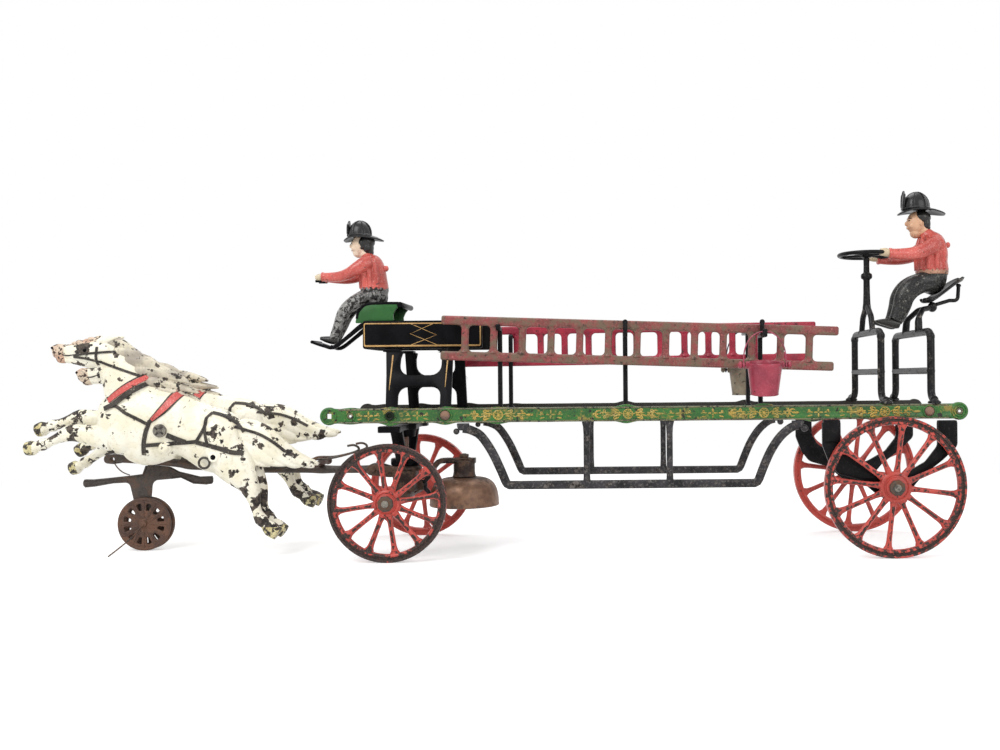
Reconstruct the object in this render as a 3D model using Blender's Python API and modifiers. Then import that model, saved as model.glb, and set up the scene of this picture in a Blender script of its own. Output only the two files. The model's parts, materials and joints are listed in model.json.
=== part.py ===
"""Cast iron toy: a horse-drawn ladder wagon with two galloping horses, driver and rear steersman.

The wagon points towards -X, its near side is -Y and the ground is Z = 0.
Sizes below are in millimetres; MM turns them into metres.
"""
import math

import bmesh
import bpy
from mathutils import Matrix, Vector

MM = 0.001
GAP = 0.3

# Running gear
FRONT_AXLE_X = -79.2
REAR_AXLE_X = 292.3
FRONT_WHEEL_R = 43.3
REAR_WHEEL_R = 51.8
WHEEL_Y = 64.5
TREAD_WIDTH = 6.5
RIM_DEPTH = 5.6
SPOKES = 12
SPOKE_WIDTH = 3.4
SPOKE_THICK = 3.6
AXLE_R = 3.0
NUT_R = 5.6
HUB_OUT = 4.4
HUB_IN = 6.2
NUT_LENGTH = 3.2

# Side rails and truss bars
RAIL_Y = 56.0
RAIL_THICK = 4.0
RAIL_FRONT = -123.3
RAIL_REAR = 342.0
RAIL_Z = 106.8
RAIL_HEIGHT = 10.8
RAIL_END_R = 6.6
TRUSS_WIDTH = 6.6
TRUSS_THICK = 4.2
TRUSS_BOTTOM_Z = 54.8
ROD_R = 2.0
TIE_ROD_X = (-78.1, -37.4, 319.8)
H_FRAME_ROD_X = TIE_ROD_X[:2]

# Box, seat and footboard
H_FRAME_TOP_Z = 157.0
H_FRAME_FOOT_Y = 42.0
H_FRAME_TOP_Y = 27.0
H_FRAME_THICK = 3.4
BOX_FRONT = -106.0
BOX_REAR = -14.1
BOX_HALF_WIDTH = 26.0
BOX_TOP_Z = 178.9
PANEL_THICK = 2.4
FLOOR_THICK = 2.0
SEAT_HALF_WIDTH = 20.0
SEAT_TOP_Z = 194.0
FOOTBOARD_HALF_WIDTH = 12.0

# Ladder racks
RACK_X = (1.0, 96.0, 198.2)
RACK_THICK = 3.0
POST_Y = 37.0
POST_WIDTH = 4.0
HOOK_THICK = 3.0
HOOK_LIP = 12.5
PEG_BEYOND = 3.5

# Ladders
LADDER_Y = 45.0
LADDER_THICK = 4.5
LADDER_RAIL = 6.8
LADDER_HEIGHT = 33.4
LADDER_LENGTH = 298.0
LADDER_FRONT = -41.6
RUNG_WIDTH = 4.0
RUNGS = 13
NEAR_RUNG_START = 14.9
NEAR_RUNG_END = 20.3
FAR_RUNG_START = 28.4
FAR_RUNG_END = 24.8
NEAR_RUNG_STEP = (LADDER_LENGTH - NEAR_RUNG_START - NEAR_RUNG_END) / (RUNGS - 1)
FAR_RUNG_STEP = (LADDER_LENGTH - FAR_RUNG_START - FAR_RUNG_END) / (RUNGS - 1)
NEAR_LADDER_TOP_Z = 181.4
NEAR_LADDER_SLOPE = 2.1
FAR_LADDER_TOP_Z = 177.0

# Buckets
BUCKET_Y = 61.5
BUCKET_RIM_R = 13.2
BUCKET_BASE_R = 10.2
BUCKET_DEPTH = 24.0
BUCKET_WALL = 1.2
NEAR_BUCKET_RIM_Z = 144.0
FAR_BUCKET_RIM_Z = 141.8
BAIL_R = 0.8
BAIL_CLEAR = 0.7
EAR_DROP = 2.0

# Steersman's stands
STAND_X = 288.6
STAND_HALF_WIDTH = 42.0
STAND_TOP_Z = 170.0
SEAT_STAND_X = STAND_X + 35.7
SEAT_STAND_HALF_WIDTH = 48.0
STAND_R = 2.7
STEERING_Z = 229.4
STEERING_R = 21.2
STEERING_WIRE_R = 1.6
COLUMN_R = 2.4

# Front truck and bell
KING_PIN_R = 2.6
TURNTABLE_R = 11.5
TURNTABLE_Z = 64.7
BELL_X = -32.7
BELL_R = 27.5
BELL_MOUTH_Z = 33.4
BELL_TOP_Z = 55.6
BELL_WALL = 1.8
HAMMER_PIVOT = (-68.9, 48.4)
POLE_HINGE = (-104.0, 62.5)
POLE_R = 3.0

# Horses and the little carriage under them
HORSE_Y = 29.0
HORSE_PIVOT = (-251.3, 83.4)
HORSE_ROCK = 11.0
PIVOT_ROD_R = 2.0
HORSE_BOSS = 15.4
ROD_PAST = 15.8
CARRIAGE_X = -285.8
CARRIAGE_WHEEL_R = 21.0
CARRIAGE_WHEEL_Y = 3.4
CARRIAGE_WHEEL_THICK = 3.0
CARRIAGE_PLATE = 2.4
CARRIAGE_AXLE_R = 1.3


for thing in list(bpy.data.objects):
    bpy.data.objects.remove(thing, do_unlink=True)

wagon = bpy.data.collections.new("horse_drawn_ladder_wagon")
cutters = bpy.data.collections.new("cutters")
for group in (wagon, cutters):
    bpy.context.scene.collection.children.link(group)


def linear(channel):
    """One colour channel from screen value to light value."""
    if channel <= 0.04045:
        return channel / 12.92
    return ((channel + 0.055) / 1.055) ** 2.4


def paint(name, screen, roughness, metallic=0.0):
    """A Principled material from a screen colour such as 'c4453a'."""
    rgb = [linear(int(screen[i:i + 2], 16) / 255.0) for i in (0, 2, 4)]
    made = bpy.data.materials.new(name)
    made.use_nodes = True
    shader = made.node_tree.nodes["Principled BSDF"]
    shader.inputs["Base Color"].default_value = (*rgb, 1.0)
    shader.inputs["Roughness"].default_value = roughness
    shader.inputs["Metallic"].default_value = metallic
    made.diffuse_color = (*rgb, 1.0)
    return made


GREEN = paint("green_paint", "3f7a3c", 0.45)
BLACK = paint("black_enamel", "1d1d1f", 0.35)
RED = paint("wheel_red", "c4453a", 0.45)
BROWN_RED = paint("worn_red", "7d4a48", 0.5)
CRIMSON = paint("crimson", "b3283f", 0.4)
PINK = paint("bucket_crimson", "b5446a", 0.4)
BEIGE = paint("worn_beige", "8f8672", 0.6)
WHITE = paint("horse_white", "e9e5d4", 0.45)
COAT_RED = paint("jacket_red", "c9584e", 0.4)
RUST = paint("rusty_iron", "4c3d35", 0.7, 0.4)
IRON = paint("dark_iron", "3c3b3c", 0.5, 0.6)
COPPER = paint("bell_copper", "8d5a42", 0.35, 0.8)

# Helpers


def adopt(thing, group=wagon):
    """Keep an object in one collection only."""
    for held in list(thing.users_collection):
        held.objects.unlink(thing)
    group.objects.link(thing)
    return thing


def solid(name, mesh):
    """A mesh object whose doubled points are welded and whose faces point out."""
    shape = bmesh.new()
    shape.from_mesh(mesh)
    bmesh.ops.remove_doubles(shape, verts=shape.verts, dist=0.00001)
    bmesh.ops.dissolve_degenerate(shape, edges=shape.edges, dist=0.00001)
    bmesh.ops.recalc_face_normals(shape, faces=shape.faces)
    shape.to_mesh(mesh)
    shape.free()
    return adopt(bpy.data.objects.new(name, mesh))


def realise(thing):
    """Turn a curve, or an object with modifiers, into a plain mesh in world space."""
    bpy.context.view_layer.update()
    seen = thing.evaluated_get(bpy.context.evaluated_depsgraph_get())
    mesh = bpy.data.meshes.new_from_object(seen)
    mesh.transform(thing.matrix_world)
    name = thing.name
    bpy.data.objects.remove(thing, do_unlink=True)
    return solid(name, mesh)


def rounded(corners, steps=3):
    """An outline whose corners (a, b, radius) become arcs; a plain (a, b) stays sharp."""
    points = []
    count = len(corners)
    for i, corner in enumerate(corners):
        here = Vector(corner[:2])
        radius = corner[2] if len(corner) > 2 else 0.0
        if radius <= 0.0:
            points.append(tuple(here))
            continue
        back = (Vector(corners[i - 1][:2]) - here).normalized()
        ahead = (Vector(corners[(i + 1) % count][:2]) - here).normalized()
        half = back.angle(ahead) / 2.0
        reach = radius / math.tan(half)
        start = here + back * reach
        centre = here + (back + ahead).normalized() * (radius / math.sin(half))
        first = math.atan2(*(start - centre).yx)
        end = here + ahead * reach
        turn = math.atan2(*(end - centre).yx) - first
        turn = (turn + math.pi) % (2.0 * math.pi) - math.pi
        for k in range(steps + 1):
            angle = first + turn * k / steps
            points.append((centre.x + radius * math.cos(angle), centre.y + radius * math.sin(angle)))
    return points


def ring_points(a, b, radius, count=10, phase=0.0):
    """Points of a circle in a plane."""
    return [(a + radius * math.cos(phase + 2.0 * math.pi * k / count),
             b + radius * math.sin(phase + 2.0 * math.pi * k / count)) for k in range(count)]


PLANES = {
    "XZ": Matrix(((1, 0, 0, 0), (0, 0, -1, 0), (0, 1, 0, 0), (0, 0, 0, 1))),
    "YZ": Matrix(((0, 0, 1, 0), (1, 0, 0, 0), (0, 1, 0, 0), (0, 0, 0, 1))),
    "XY": Matrix.Identity(4),
}


def plate(name, outline, thickness, plane="XZ", at=0.0, holes=()):
    """A flat casting: an outline with holes, extruded both ways from its plane."""
    curve = bpy.data.curves.new(name, "CURVE")
    curve.dimensions = "2D"
    curve.fill_mode = "BOTH"
    curve.extrude = thickness * MM / 2.0
    for loop in (outline, *holes):
        spline = curve.splines.new("POLY")
        spline.points.add(len(loop) - 1)
        for point, (a, b) in zip(spline.points, loop):
            point.co = (a * MM, b * MM, 0.0, 1.0)
        spline.use_cyclic_u = True
    flat = adopt(bpy.data.objects.new(name, curve))
    offset = {"XZ": (0, at, 0), "YZ": (at, 0, 0), "XY": (0, 0, at)}[plane]
    flat.matrix_world = Matrix.Translation(Vector(offset) * MM) @ PLANES[plane]
    return realise(flat)


def strip(line, width):
    """The outline of a bar of even width along a bent line in a plane."""
    pts = [Vector(p) for p in line]
    left = []
    right = []
    for i, here in enumerate(pts):
        before = (here - pts[i - 1]).normalized() if i else (pts[1] - here).normalized()
        after = (pts[i + 1] - here).normalized() if i < len(pts) - 1 else before
        mean = (before + after).normalized()
        side = Vector((-mean.y, mean.x)) * (width / 2.0 / max(0.5, mean.dot(before)))
        left.append(tuple(here + side))
        right.append(tuple(here - side))
    return left + right[::-1]


def tube(name, line, radius, sides=8, closed=False, squash=None):
    """A round bar along points in space; squash = (y plane, factor) makes it oval."""
    curve = bpy.data.curves.new(name, "CURVE")
    curve.dimensions = "3D"
    curve.bevel_depth = radius * MM
    curve.bevel_resolution = max(0, (sides - 4) // 2)
    curve.use_fill_caps = True
    spline = curve.splines.new("POLY")
    spline.points.add(len(line) - 1)
    for point, place in zip(spline.points, line):
        point.co = (*(Vector(place) * MM), 1.0)
    spline.use_cyclic_u = closed
    bar = adopt(bpy.data.objects.new(name, curve))
    if squash:
        level, factor = squash
        bar.matrix_world = (Matrix.Translation((0, level * MM, 0))
                            @ Matrix.Diagonal((1, factor, 1, 1))
                            @ Matrix.Translation((0, -level * MM, 0)))
    return realise(bar)


def bent(points, radius=6.0, steps=3):
    """A line in space whose inner corners are rounded."""
    line = [Vector(points[0])]
    for i in range(1, len(points) - 1):
        here = Vector(points[i])
        back = Vector(points[i - 1]) - here
        ahead = Vector(points[i + 1]) - here
        reach = min(radius, 0.45 * back.length, 0.45 * ahead.length)
        start = here + back.normalized() * reach
        end = here + ahead.normalized() * reach
        for k in range(steps + 1):
            t = k / steps
            line.append(start * (1 - t) ** 2 + here * 2 * t * (1 - t) + end * t * t)
    line.append(Vector(points[-1]))
    return line


AXES = {
    "Z": Matrix.Identity(4),
    "Y": Matrix.Rotation(math.radians(-90.0), 4, "X"),
    "X": Matrix.Rotation(math.radians(90.0), 4, "Y"),
}


def turned(name, profile, centre=(0, 0, 0), axis="Z", steps=16, closed=False, phase=0.0):
    """A lathe shape: (radius, height) pairs, top to bottom on the outer side."""
    mesh = bpy.data.meshes.new(name)
    count = len(profile)
    edges = [(i, i + 1) for i in range(count - 1)]
    if closed:
        edges.append((count - 1, 0))
    mesh.from_pydata([(r * MM, 0.0, h * MM) for r, h in profile], edges, [])
    shape = adopt(bpy.data.objects.new(name, mesh))
    spin = shape.modifiers.new("turn", "SCREW")
    spin.axis = "Z"
    spin.steps = steps
    spin.render_steps = steps
    spin.use_merge_vertices = True
    spin.merge_threshold = 0.00002
    shape.matrix_world = (Matrix.Translation(Vector(centre) * MM) @ AXES[axis]
                          @ Matrix.Rotation(phase, 4, "Z"))
    return realise(shape)


def pin(name, radius, start, end, centre, axis="Y", steps=10, heads=(), phase=0.0):
    """A rod from start to end along an axis; heads = (from, to, radius) collars on it."""
    stops = sorted({start, end, *(h for head in heads for h in head[:2])}, reverse=True)
    profile = [(0.0, stops[0])]
    for high, low in zip(stops[:-1], stops[1:]):
        middle = (high + low) / 2.0
        wide = max([radius] + [r for a, b, r in heads if a < middle < b])
        profile += [(wide, high), (wide, low)]
    profile.append((0.0, stops[-1]))
    return turned(name, profile, centre, axis, steps, phase=phase)


def box(name, low, high, soft=0.0):
    """A block between two corners, its edges bevelled by soft."""
    mesh = bpy.data.meshes.new(name)
    shape = bmesh.new()
    bmesh.ops.create_cube(shape, size=1.0)
    low = Vector(low)
    high = Vector(high)
    for vert in shape.verts:
        vert.co = Vector([(low[i] + (vert.co[i] + 0.5) * (high[i] - low[i])) * MM for i in range(3)])
    if soft:
        bmesh.ops.bevel(shape, geom=shape.edges[:], offset=soft * MM, segments=1, affect="EDGES")
    shape.to_mesh(mesh)
    shape.free()
    return solid(name, mesh)


def loft(name, rings):
    """A closed skin over rings of points, each with the same count."""
    mesh = bpy.data.meshes.new(name)
    shape = bmesh.new()
    rows = [[shape.verts.new(Vector(p) * MM) for p in ring] for ring in rings]
    count = len(rows[0])
    for low, high in zip(rows[:-1], rows[1:]):
        for k in range(count):
            n = (k + 1) % count
            shape.faces.new((low[k], low[n], high[n], high[k]))
    shape.faces.new(rows[0])
    shape.faces.new(rows[-1][::-1])
    shape.to_mesh(mesh)
    shape.free()
    return solid(name, mesh)


def limb(name, stations, sides=8, y=0.0, direction=None):
    """A rounded body along a line in the XZ plane: stations (x, z, half height, half width, y shift)."""
    rings = []
    count = len(stations)
    for i, station in enumerate(stations):
        x, z, tall, wide = station[:4]
        shift = station[4] if len(station) > 4 else 0.0
        if direction is None:
            ahead = stations[min(i + 1, count - 1)]
            back = stations[max(i - 1, 0)]
            along = Vector((ahead[0] - back[0], 0.0, ahead[1] - back[1])).normalized()
        else:
            along = Vector(direction).normalized()
        up = Vector((-along.z, 0.0, along.x))
        ring = []
        for k in range(sides):
            turn = 2.0 * math.pi * (k + 0.5) / sides
            side = Vector((0.0, wide * math.cos(turn), 0.0))
            ring.append(Vector((x, y + shift, z)) + side + up * (tall * math.sin(turn)))
        rings.append(ring)
    return loft(name, rings)


def apply_boolean(base, tool, operation):
    """One exact Boolean, applied; the tool is used up."""
    act = base.modifiers.new(operation.lower(), "BOOLEAN")
    act.operation = operation
    act.solver = "EXACT"
    act.object = tool
    made = realise(base)
    bpy.data.objects.remove(tool, do_unlink=True)
    return made


def join(name, *pieces):
    """Fuse castings into one body."""
    base = pieces[0]
    for piece in pieces[1:]:
        base = apply_boolean(base, piece, "UNION")
    base.name = name
    return base


def cut(base, *tools):
    """Take cutters out of a casting."""
    for tool in tools:
        tool.hide_render = True
        tool.display_type = "WIRE"
        adopt(tool, cutters)
        base = apply_boolean(base, tool, "DIFFERENCE")
    return base


def pivot(name, place, parent=None):
    """An empty on a joint's axis, which carries the pieces that move with it."""
    empty = adopt(bpy.data.objects.new(name, None))
    empty.empty_display_size = 0.01
    empty.location = Vector(place) * MM
    if parent:
        empty.parent = parent
        empty.location = Vector(place) * MM - world_place(parent)
    return empty


def world_place(thing):
    """An object's place in the world, down its chain of parents."""
    place = thing.location.copy()
    while thing.parent:
        thing = thing.parent
        place += thing.location
    return place


def finish(piece, name, colour, origin=None, parent=None, angle=35.0):
    """Name a piece, paint it, put its origin in place and hang it on its parent."""
    origin = Vector(origin) * MM if origin is not None else Vector((0, 0, 0))
    if origin.length:
        piece.data.transform(Matrix.Translation(-origin))
    piece.name = name
    piece.data.name = name
    piece.data.materials.clear()
    piece.data.materials.append(colour)
    piece.data.shade_smooth()
    piece.data.set_sharp_from_angle(angle=math.radians(angle))
    piece.location = origin
    if parent:
        piece.parent = parent
        piece.location = origin - world_place(parent)
    return piece


# Side rails: a scalloped bar with a round eye at each end and raised bosses

RAIL_TOP_Z = RAIL_Z + RAIL_HEIGHT / 2.0
RAIL_BOTTOM_Z = RAIL_Z - RAIL_HEIGHT / 2.0
TOP_BUMPS = ((TIE_ROD_X[0], 1.2), (TIE_ROD_X[1], 1.2), (96.1, 1.8), (198.3, 1.8))
BOTTOM_BUMPS = ((241.0, 1.8), (TIE_ROD_X[1], 1.6), (TIE_ROD_X[0], 2.1))


def scalloped(bumps, level, sign, half=9.0):
    """The bumps of a rail's edge, as points in the order given."""
    points = []
    for x, rise in bumps:
        heading = -sign
        for step, share in ((-1.0, 0.0), (-0.4, 1.0), (0.4, 1.0), (1.0, 0.0)):
            points.append((x - heading * step * half, level + sign * rise * share))
    return points


def rail_outline():
    opening = math.asin(RAIL_HEIGHT / 2.0 / RAIL_END_R)
    sweep = 2.0 * math.pi - 2.0 * opening
    points = []
    for k in range(7):
        angle = -opening - sweep * k / 6
        points.append((RAIL_FRONT + RAIL_END_R * math.cos(angle), RAIL_Z + RAIL_END_R * math.sin(angle)))
    points += scalloped(TOP_BUMPS, RAIL_TOP_Z, 1)
    for k in range(7):
        angle = math.pi - opening - sweep * k / 6
        points.append((RAIL_REAR + RAIL_END_R * math.cos(angle), RAIL_Z + RAIL_END_R * math.sin(angle)))
    points += scalloped(BOTTOM_BUMPS, RAIL_BOTTOM_Z, -1)
    return points


def side_rail(name, side):
    holes = [ring_points(RAIL_FRONT, RAIL_Z, 2.6, 4, math.pi / 4), ring_points(RAIL_REAR, RAIL_Z, 2.3, 8),
             ring_points(-107.3, RAIL_Z, 1.9, 6)]
    holes += [ring_points(x, RAIL_Z, ROD_R + GAP, 8) for x in TIE_ROD_X]
    bar = plate(name, rail_outline(), RAIL_THICK, "XZ", side * RAIL_Y, holes)
    return finish(bar, name, GREEN, (0, side * RAIL_Y, RAIL_Z))


# Truss bars: an oval bar below each rail with two struts, balls at its ends

def truss(name, side):
    y = side * RAIL_Y
    radius = TRUSS_WIDTH / 2.0
    oval = (y, TRUSS_THICK / TRUSS_WIDTH)
    line = [(-24.5, y, 96.2), (-12.0, y, 91.0), (3.0, y, 69.0), (8.0, y, TRUSS_BOTTOM_Z),
            (192.0, y, TRUSS_BOTTOM_Z), (198.5, y, 70.0), (208.0, y, 86.0), (223.0, y, 96.4)]
    bar = tube(name, bent(line, 7.0, 1), radius, 8, squash=oval)
    top = RAIL_BOTTOM_Z - GAP
    for x in (66.7, 128.1):
        strut = tube("strut", [(x, y, TRUSS_BOTTOM_Z), (x, y, top)], 2.5, 6, squash=(y, 0.8))
        bar = join(name, bar, strut)
    for x, z, length in ((-24.5, 96.2, 2.2), (223.0, 96.4, 2.6)):
        foot = box("foot", (x - 4.0, y - 2.0, z - 2.0), (x + 4.0, y + 2.0, top))
        bar = join(name, bar, foot)
        ball = turned("ball", [(0, length), (length * 0.9, length * 0.4), (length * 0.9, -length * 0.4),
                               (0, -length)], (x + 4.8 * math.copysign(1, x), y, z - 1.6),
                      steps=6)
        bar = join(name, bar, ball)
    return finish(bar, name, BLACK, (0, y, TRUSS_BOTTOM_Z))


for prefix, side in (("near", -1), ("far", 1)):
    side_rail(prefix + "_side_rail", side)
    truss(prefix + "_truss", side)

# Tie rods from rail to rail, riveted over outside the bosses

RIVET_Y = RAIL_Y + RAIL_THICK / 2.0 + GAP
for name, x in zip(("front_tie_rod", "middle_tie_rod", "rear_tie_rod"), TIE_ROD_X):
    rod = pin(name, ROD_R, -RIVET_Y - 1.6, RIVET_Y + 1.6, (x, 0, RAIL_Z), steps=8,
              heads=((RIVET_Y, RIVET_Y + 1.6, 3.6), (-RIVET_Y - 1.6, -RIVET_Y, 3.6)))
    finish(rod, name, IRON, (x, 0, RAIL_Z))

# H-shaped frames that lean inward and carry the box

LEG_X = (-80.6, -40.2)
LEG_HALF = 4.2
LEAN = math.atan2(H_FRAME_FOOT_Y - H_FRAME_TOP_Y, H_FRAME_TOP_Z - RAIL_Z)
SLANT = (H_FRAME_TOP_Z - RAIL_Z) / math.cos(LEAN)
BAR_LOW = 22.0
BAR_HIGH = 31.0


def h_frame(name, side):
    left, right = LEG_X
    foot = -5.0
    top = SLANT - 1.6
    outline = rounded([
        (left - LEG_HALF, foot, 3.0), (left + LEG_HALF, foot, 3.0), (left + LEG_HALF, BAR_LOW, 6.0),
        (right - LEG_HALF, BAR_LOW, 6.0), (right - LEG_HALF, foot, 3.0), (right + LEG_HALF, foot, 3.0),
        (right + LEG_HALF, top), (right - LEG_HALF, top), (right - LEG_HALF, BAR_HIGH, 6.0),
        (left + LEG_HALF, BAR_HIGH, 6.0), (left + LEG_HALF, top), (left - LEG_HALF, top)], 1)
    frame = plate(name, outline, H_FRAME_THICK)
    for x in H_FRAME_ROD_X:
        eye = plate("eye", ring_points(x, 0.0, 5.2, 8), H_FRAME_THICK - 0.4)
        frame = join(name, frame, eye)
    turn = Matrix.Rotation(side * LEAN, 4, "X")
    frame.data.transform(Matrix.Translation(Vector((0, side * H_FRAME_FOOT_Y, RAIL_Z)) * MM) @ turn)
    for x, front, rear in ((left, 9.0, 4.0), (right, 5.0, 9.0)):
        flange = box("flange", (x - front, side * H_FRAME_TOP_Y - 7.0, H_FRAME_TOP_Z - 2.2),
                     (x + rear, side * H_FRAME_TOP_Y + 3.0, H_FRAME_TOP_Z))
        frame = join(name, frame, flange)
    for x in H_FRAME_ROD_X:
        hole = pin("hole", ROD_R + GAP, -9.0, 9.0, (x, side * H_FRAME_FOOT_Y, RAIL_Z), steps=8)
        frame = cut(frame, hole)
    return finish(frame, name, BLACK, (0, side * H_FRAME_FOOT_Y, RAIL_Z))


# Box: two panels that stand on the frames, and a floor with end walls between them

BOX_FLOOR_Z = H_FRAME_TOP_Z + GAP
PANEL_Y = BOX_HALF_WIDTH - PANEL_THICK / 2.0
INNER_Y = BOX_HALF_WIDTH - PANEL_THICK - GAP


def box_panel(name, side):
    outline = rounded([(BOX_FRONT, BOX_FLOOR_Z, 1.6), (BOX_REAR, BOX_FLOOR_Z, 1.6),
                       (BOX_REAR, BOX_TOP_Z, 1.6), (BOX_FRONT, BOX_TOP_Z, 1.6)], 2)
    panel = plate(name, outline, PANEL_THICK, "XZ", side * PANEL_Y)
    return finish(panel, name, BLACK, (BOX_FRONT, side * PANEL_Y, BOX_FLOOR_Z))


for prefix, side in (("near", -1), ("far", 1)):
    h_frame(prefix + "_h_frame", side)
    box_panel(prefix + "_box_panel", side)

tray = strip([(BOX_FRONT + 1.2, BOX_TOP_Z - 0.4), (BOX_FRONT + 1.2, BOX_FLOOR_Z + 1.0),
              (BOX_REAR - 1.2, BOX_FLOOR_Z + 1.0), (BOX_REAR - 1.2, BOX_TOP_Z - 0.4)], FLOOR_THICK)
finish(plate("box_floor", tray, 2.0 * INNER_Y), "box_floor", BLACK, (BOX_FRONT, 0, BOX_FLOOR_Z))

# Footboard on two arms, and the driver's seat with a rolled back edge

TOE_LINE = [(-134.2, 159.2), (-137.0, 159.2), (-150.0, 163.6)]
board = plate("footboard", strip(TOE_LINE, 2.0), 2.0 * FOOTBOARD_HALF_WIDTH)
for side in (-1, 1):
    arm = plate("arm", strip([(BOX_FRONT - GAP, 176.6), (-110.5, 176.6), (-133.0, 158.8), (-141.0, 161.0)], 3.0),
                2.6, "XZ", side * (FOOTBOARD_HALF_WIDTH - 1.6))
    board = join("footboard", board, arm)
finish(board, "footboard", BLACK, (BOX_FRONT, 0, 176.0))

SEAT_SIDE = rounded([(-113.4, 177.6, 0.8), (BOX_FRONT - GAP, 177.6, 0.0), (BOX_FRONT - GAP, BOX_TOP_Z + GAP),
                     (-83.4, BOX_TOP_Z + GAP, 0.8), (-83.4, 185.0, 2.0), (-80.2, 190.0, 1.0),
                     (-81.0, SEAT_TOP_Z - 1.4), (-104.0, SEAT_TOP_Z - 1.6, 3.0), (-111.4, 187.0, 3.0)], 1)
seat = plate("driver_seat", strip([(-112.0, 181.0), (-110.2, 187.2), (-104.0, 192.6), (-78.4, 192.9)], 2.2),
             2.0 * SEAT_HALF_WIDTH)
for side in (-1, 1):
    cheek = plate("cheek", SEAT_SIDE, 2.4, "XZ", side * (SEAT_HALF_WIDTH - 1.5))
    seat = join("driver_seat", seat, cheek)
roll = pin("roll", 2.1, -SEAT_HALF_WIDTH - 0.4, SEAT_HALF_WIDTH + 0.4, (-78.2, 0, 191.8), steps=8)
seat = join("driver_seat", seat, roll)
finish(seat, "driver_seat", GREEN, (-96.0, 0, SEAT_TOP_Z))


# Ladder racks: a cross bar between the rails, two posts and a hook at each side

LADDER_SLOPE = math.tan(math.radians(NEAR_LADDER_SLOPE))
LIP_INNER = LADDER_Y + LADDER_THICK / 2.0 + 0.6
LIP_OUTER = LIP_INNER + 2.8
RACK_END = RAIL_Y - RAIL_THICK / 2.0 - GAP
RACK_LOW = RAIL_Z - 2.4
RACK_HIGH = RAIL_Z + 2.2


def hook_floor(side, x):
    """Height of a hook's bearing face, just under the ladder's upper rail."""
    if side > 0:
        return FAR_LADDER_TOP_Z - LADDER_RAIL - GAP
    drop = (x - RACK_THICK / 2.0 - LADDER_FRONT) * LADDER_SLOPE
    over = RACK_THICK * LADDER_SLOPE
    return NEAR_LADDER_TOP_Z - LADDER_RAIL / math.cos(math.radians(NEAR_LADDER_SLOPE)) - drop - over - GAP


def half_rack(side, x, peg):
    """One side's outline, from the bar's end up the post, out along the hook and back."""
    floor = hook_floor(side, x)
    low = floor - HOOK_THICK
    lip = floor + HOOK_LIP
    post = POST_Y + POST_WIDTH / 2.0
    inner = POST_Y - POST_WIDTH / 2.0
    line = [(RACK_END, RACK_LOW), (RACK_END, RACK_HIGH), (post, RACK_HIGH, 3.0), (post, low, 1.5)]
    if peg:
        end = BUCKET_Y + PEG_BEYOND
        line += [(end, low, 1.0), (end, low + 6.0), (end - 2.2, low + 6.0), (end - 2.2, low + 2.6, 0.8),
                 (LIP_OUTER, low + 2.6, 0.8)]
    else:
        line += [(LIP_OUTER, low, 1.5)]
    line += [(LIP_OUTER, lip), (LIP_INNER, lip), (LIP_INNER, floor), (inner, floor, 2.0),
             (inner, RACK_HIGH, 3.0)]
    return [(side * p[0], *p[1:]) for p in line]


def rack(name, x, peg=False):
    right = half_rack(1, x, peg)
    left = half_rack(-1, x, peg)
    frame = plate(name, rounded(right + left[::-1], 2), RACK_THICK, "YZ", x)
    return finish(frame, name, BLACK, (x, 0, RAIL_Z))


for name, x in zip(("front_rack", "middle_rack", "rear_rack"), RACK_X):
    rack(name, x, name == "rear_rack")

# Ladders: two long rails with rungs cast between them, every corner filleted


def ladder(name, colour, side, top, slope, start, step):
    """A ladder drawn level from its front end, then tilted and set in its hooks."""
    end = LADDER_LENGTH
    outline = [(0.0, 0.0, 1.0), (0.0, -LADDER_RAIL, 1.0)]
    first = start - RUNG_WIDTH / 2.0
    last = start + (RUNGS - 1) * step + RUNG_WIDTH / 2.0
    inner_top = -LADDER_RAIL
    inner_low = LADDER_RAIL - LADDER_HEIGHT
    outline += [(first, inner_top, 2.0), (first, inner_low, 2.0), (0.0, inner_low, 1.0),
                (0.0, -LADDER_HEIGHT, 1.0), (end - 3.0, -LADDER_HEIGHT, 1.0), (end - 3.0, inner_low, 1.0),
                (last, inner_low, 2.0), (last, inner_top, 2.0), (end, inner_top, 1.0), (end, 0.0, 1.0)]
    holes = []
    for k in range(RUNGS - 1):
        left = start + k * step + RUNG_WIDTH / 2.0
        right = left + step - RUNG_WIDTH
        holes.append(rounded([(left, inner_top, 2.0), (right, inner_top, 2.0),
                              (right, inner_low, 2.0), (left, inner_low, 2.0)], 1))
    frame = plate(name, rounded(outline, 1), LADDER_THICK, "XZ", 0.0, holes)
    place = Vector((LADDER_FRONT, side * LADDER_Y, top))
    tilt = Matrix.Rotation(math.radians(slope), 4, "Y")
    frame.data.transform(Matrix.Translation(place * MM) @ tilt)
    return finish(frame, name, colour, place)


ladder("near_ladder", BROWN_RED, -1, NEAR_LADDER_TOP_Z, NEAR_LADDER_SLOPE, NEAR_RUNG_START, NEAR_RUNG_STEP)
ladder("far_ladder", CRIMSON, 1, FAR_LADDER_TOP_Z, 0.0, FAR_RUNG_START, FAR_RUNG_STEP)

# Buckets on wire bails, which hang on the rear rack's pegs

EYE_X = BUCKET_RIM_R + 2.4


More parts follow.
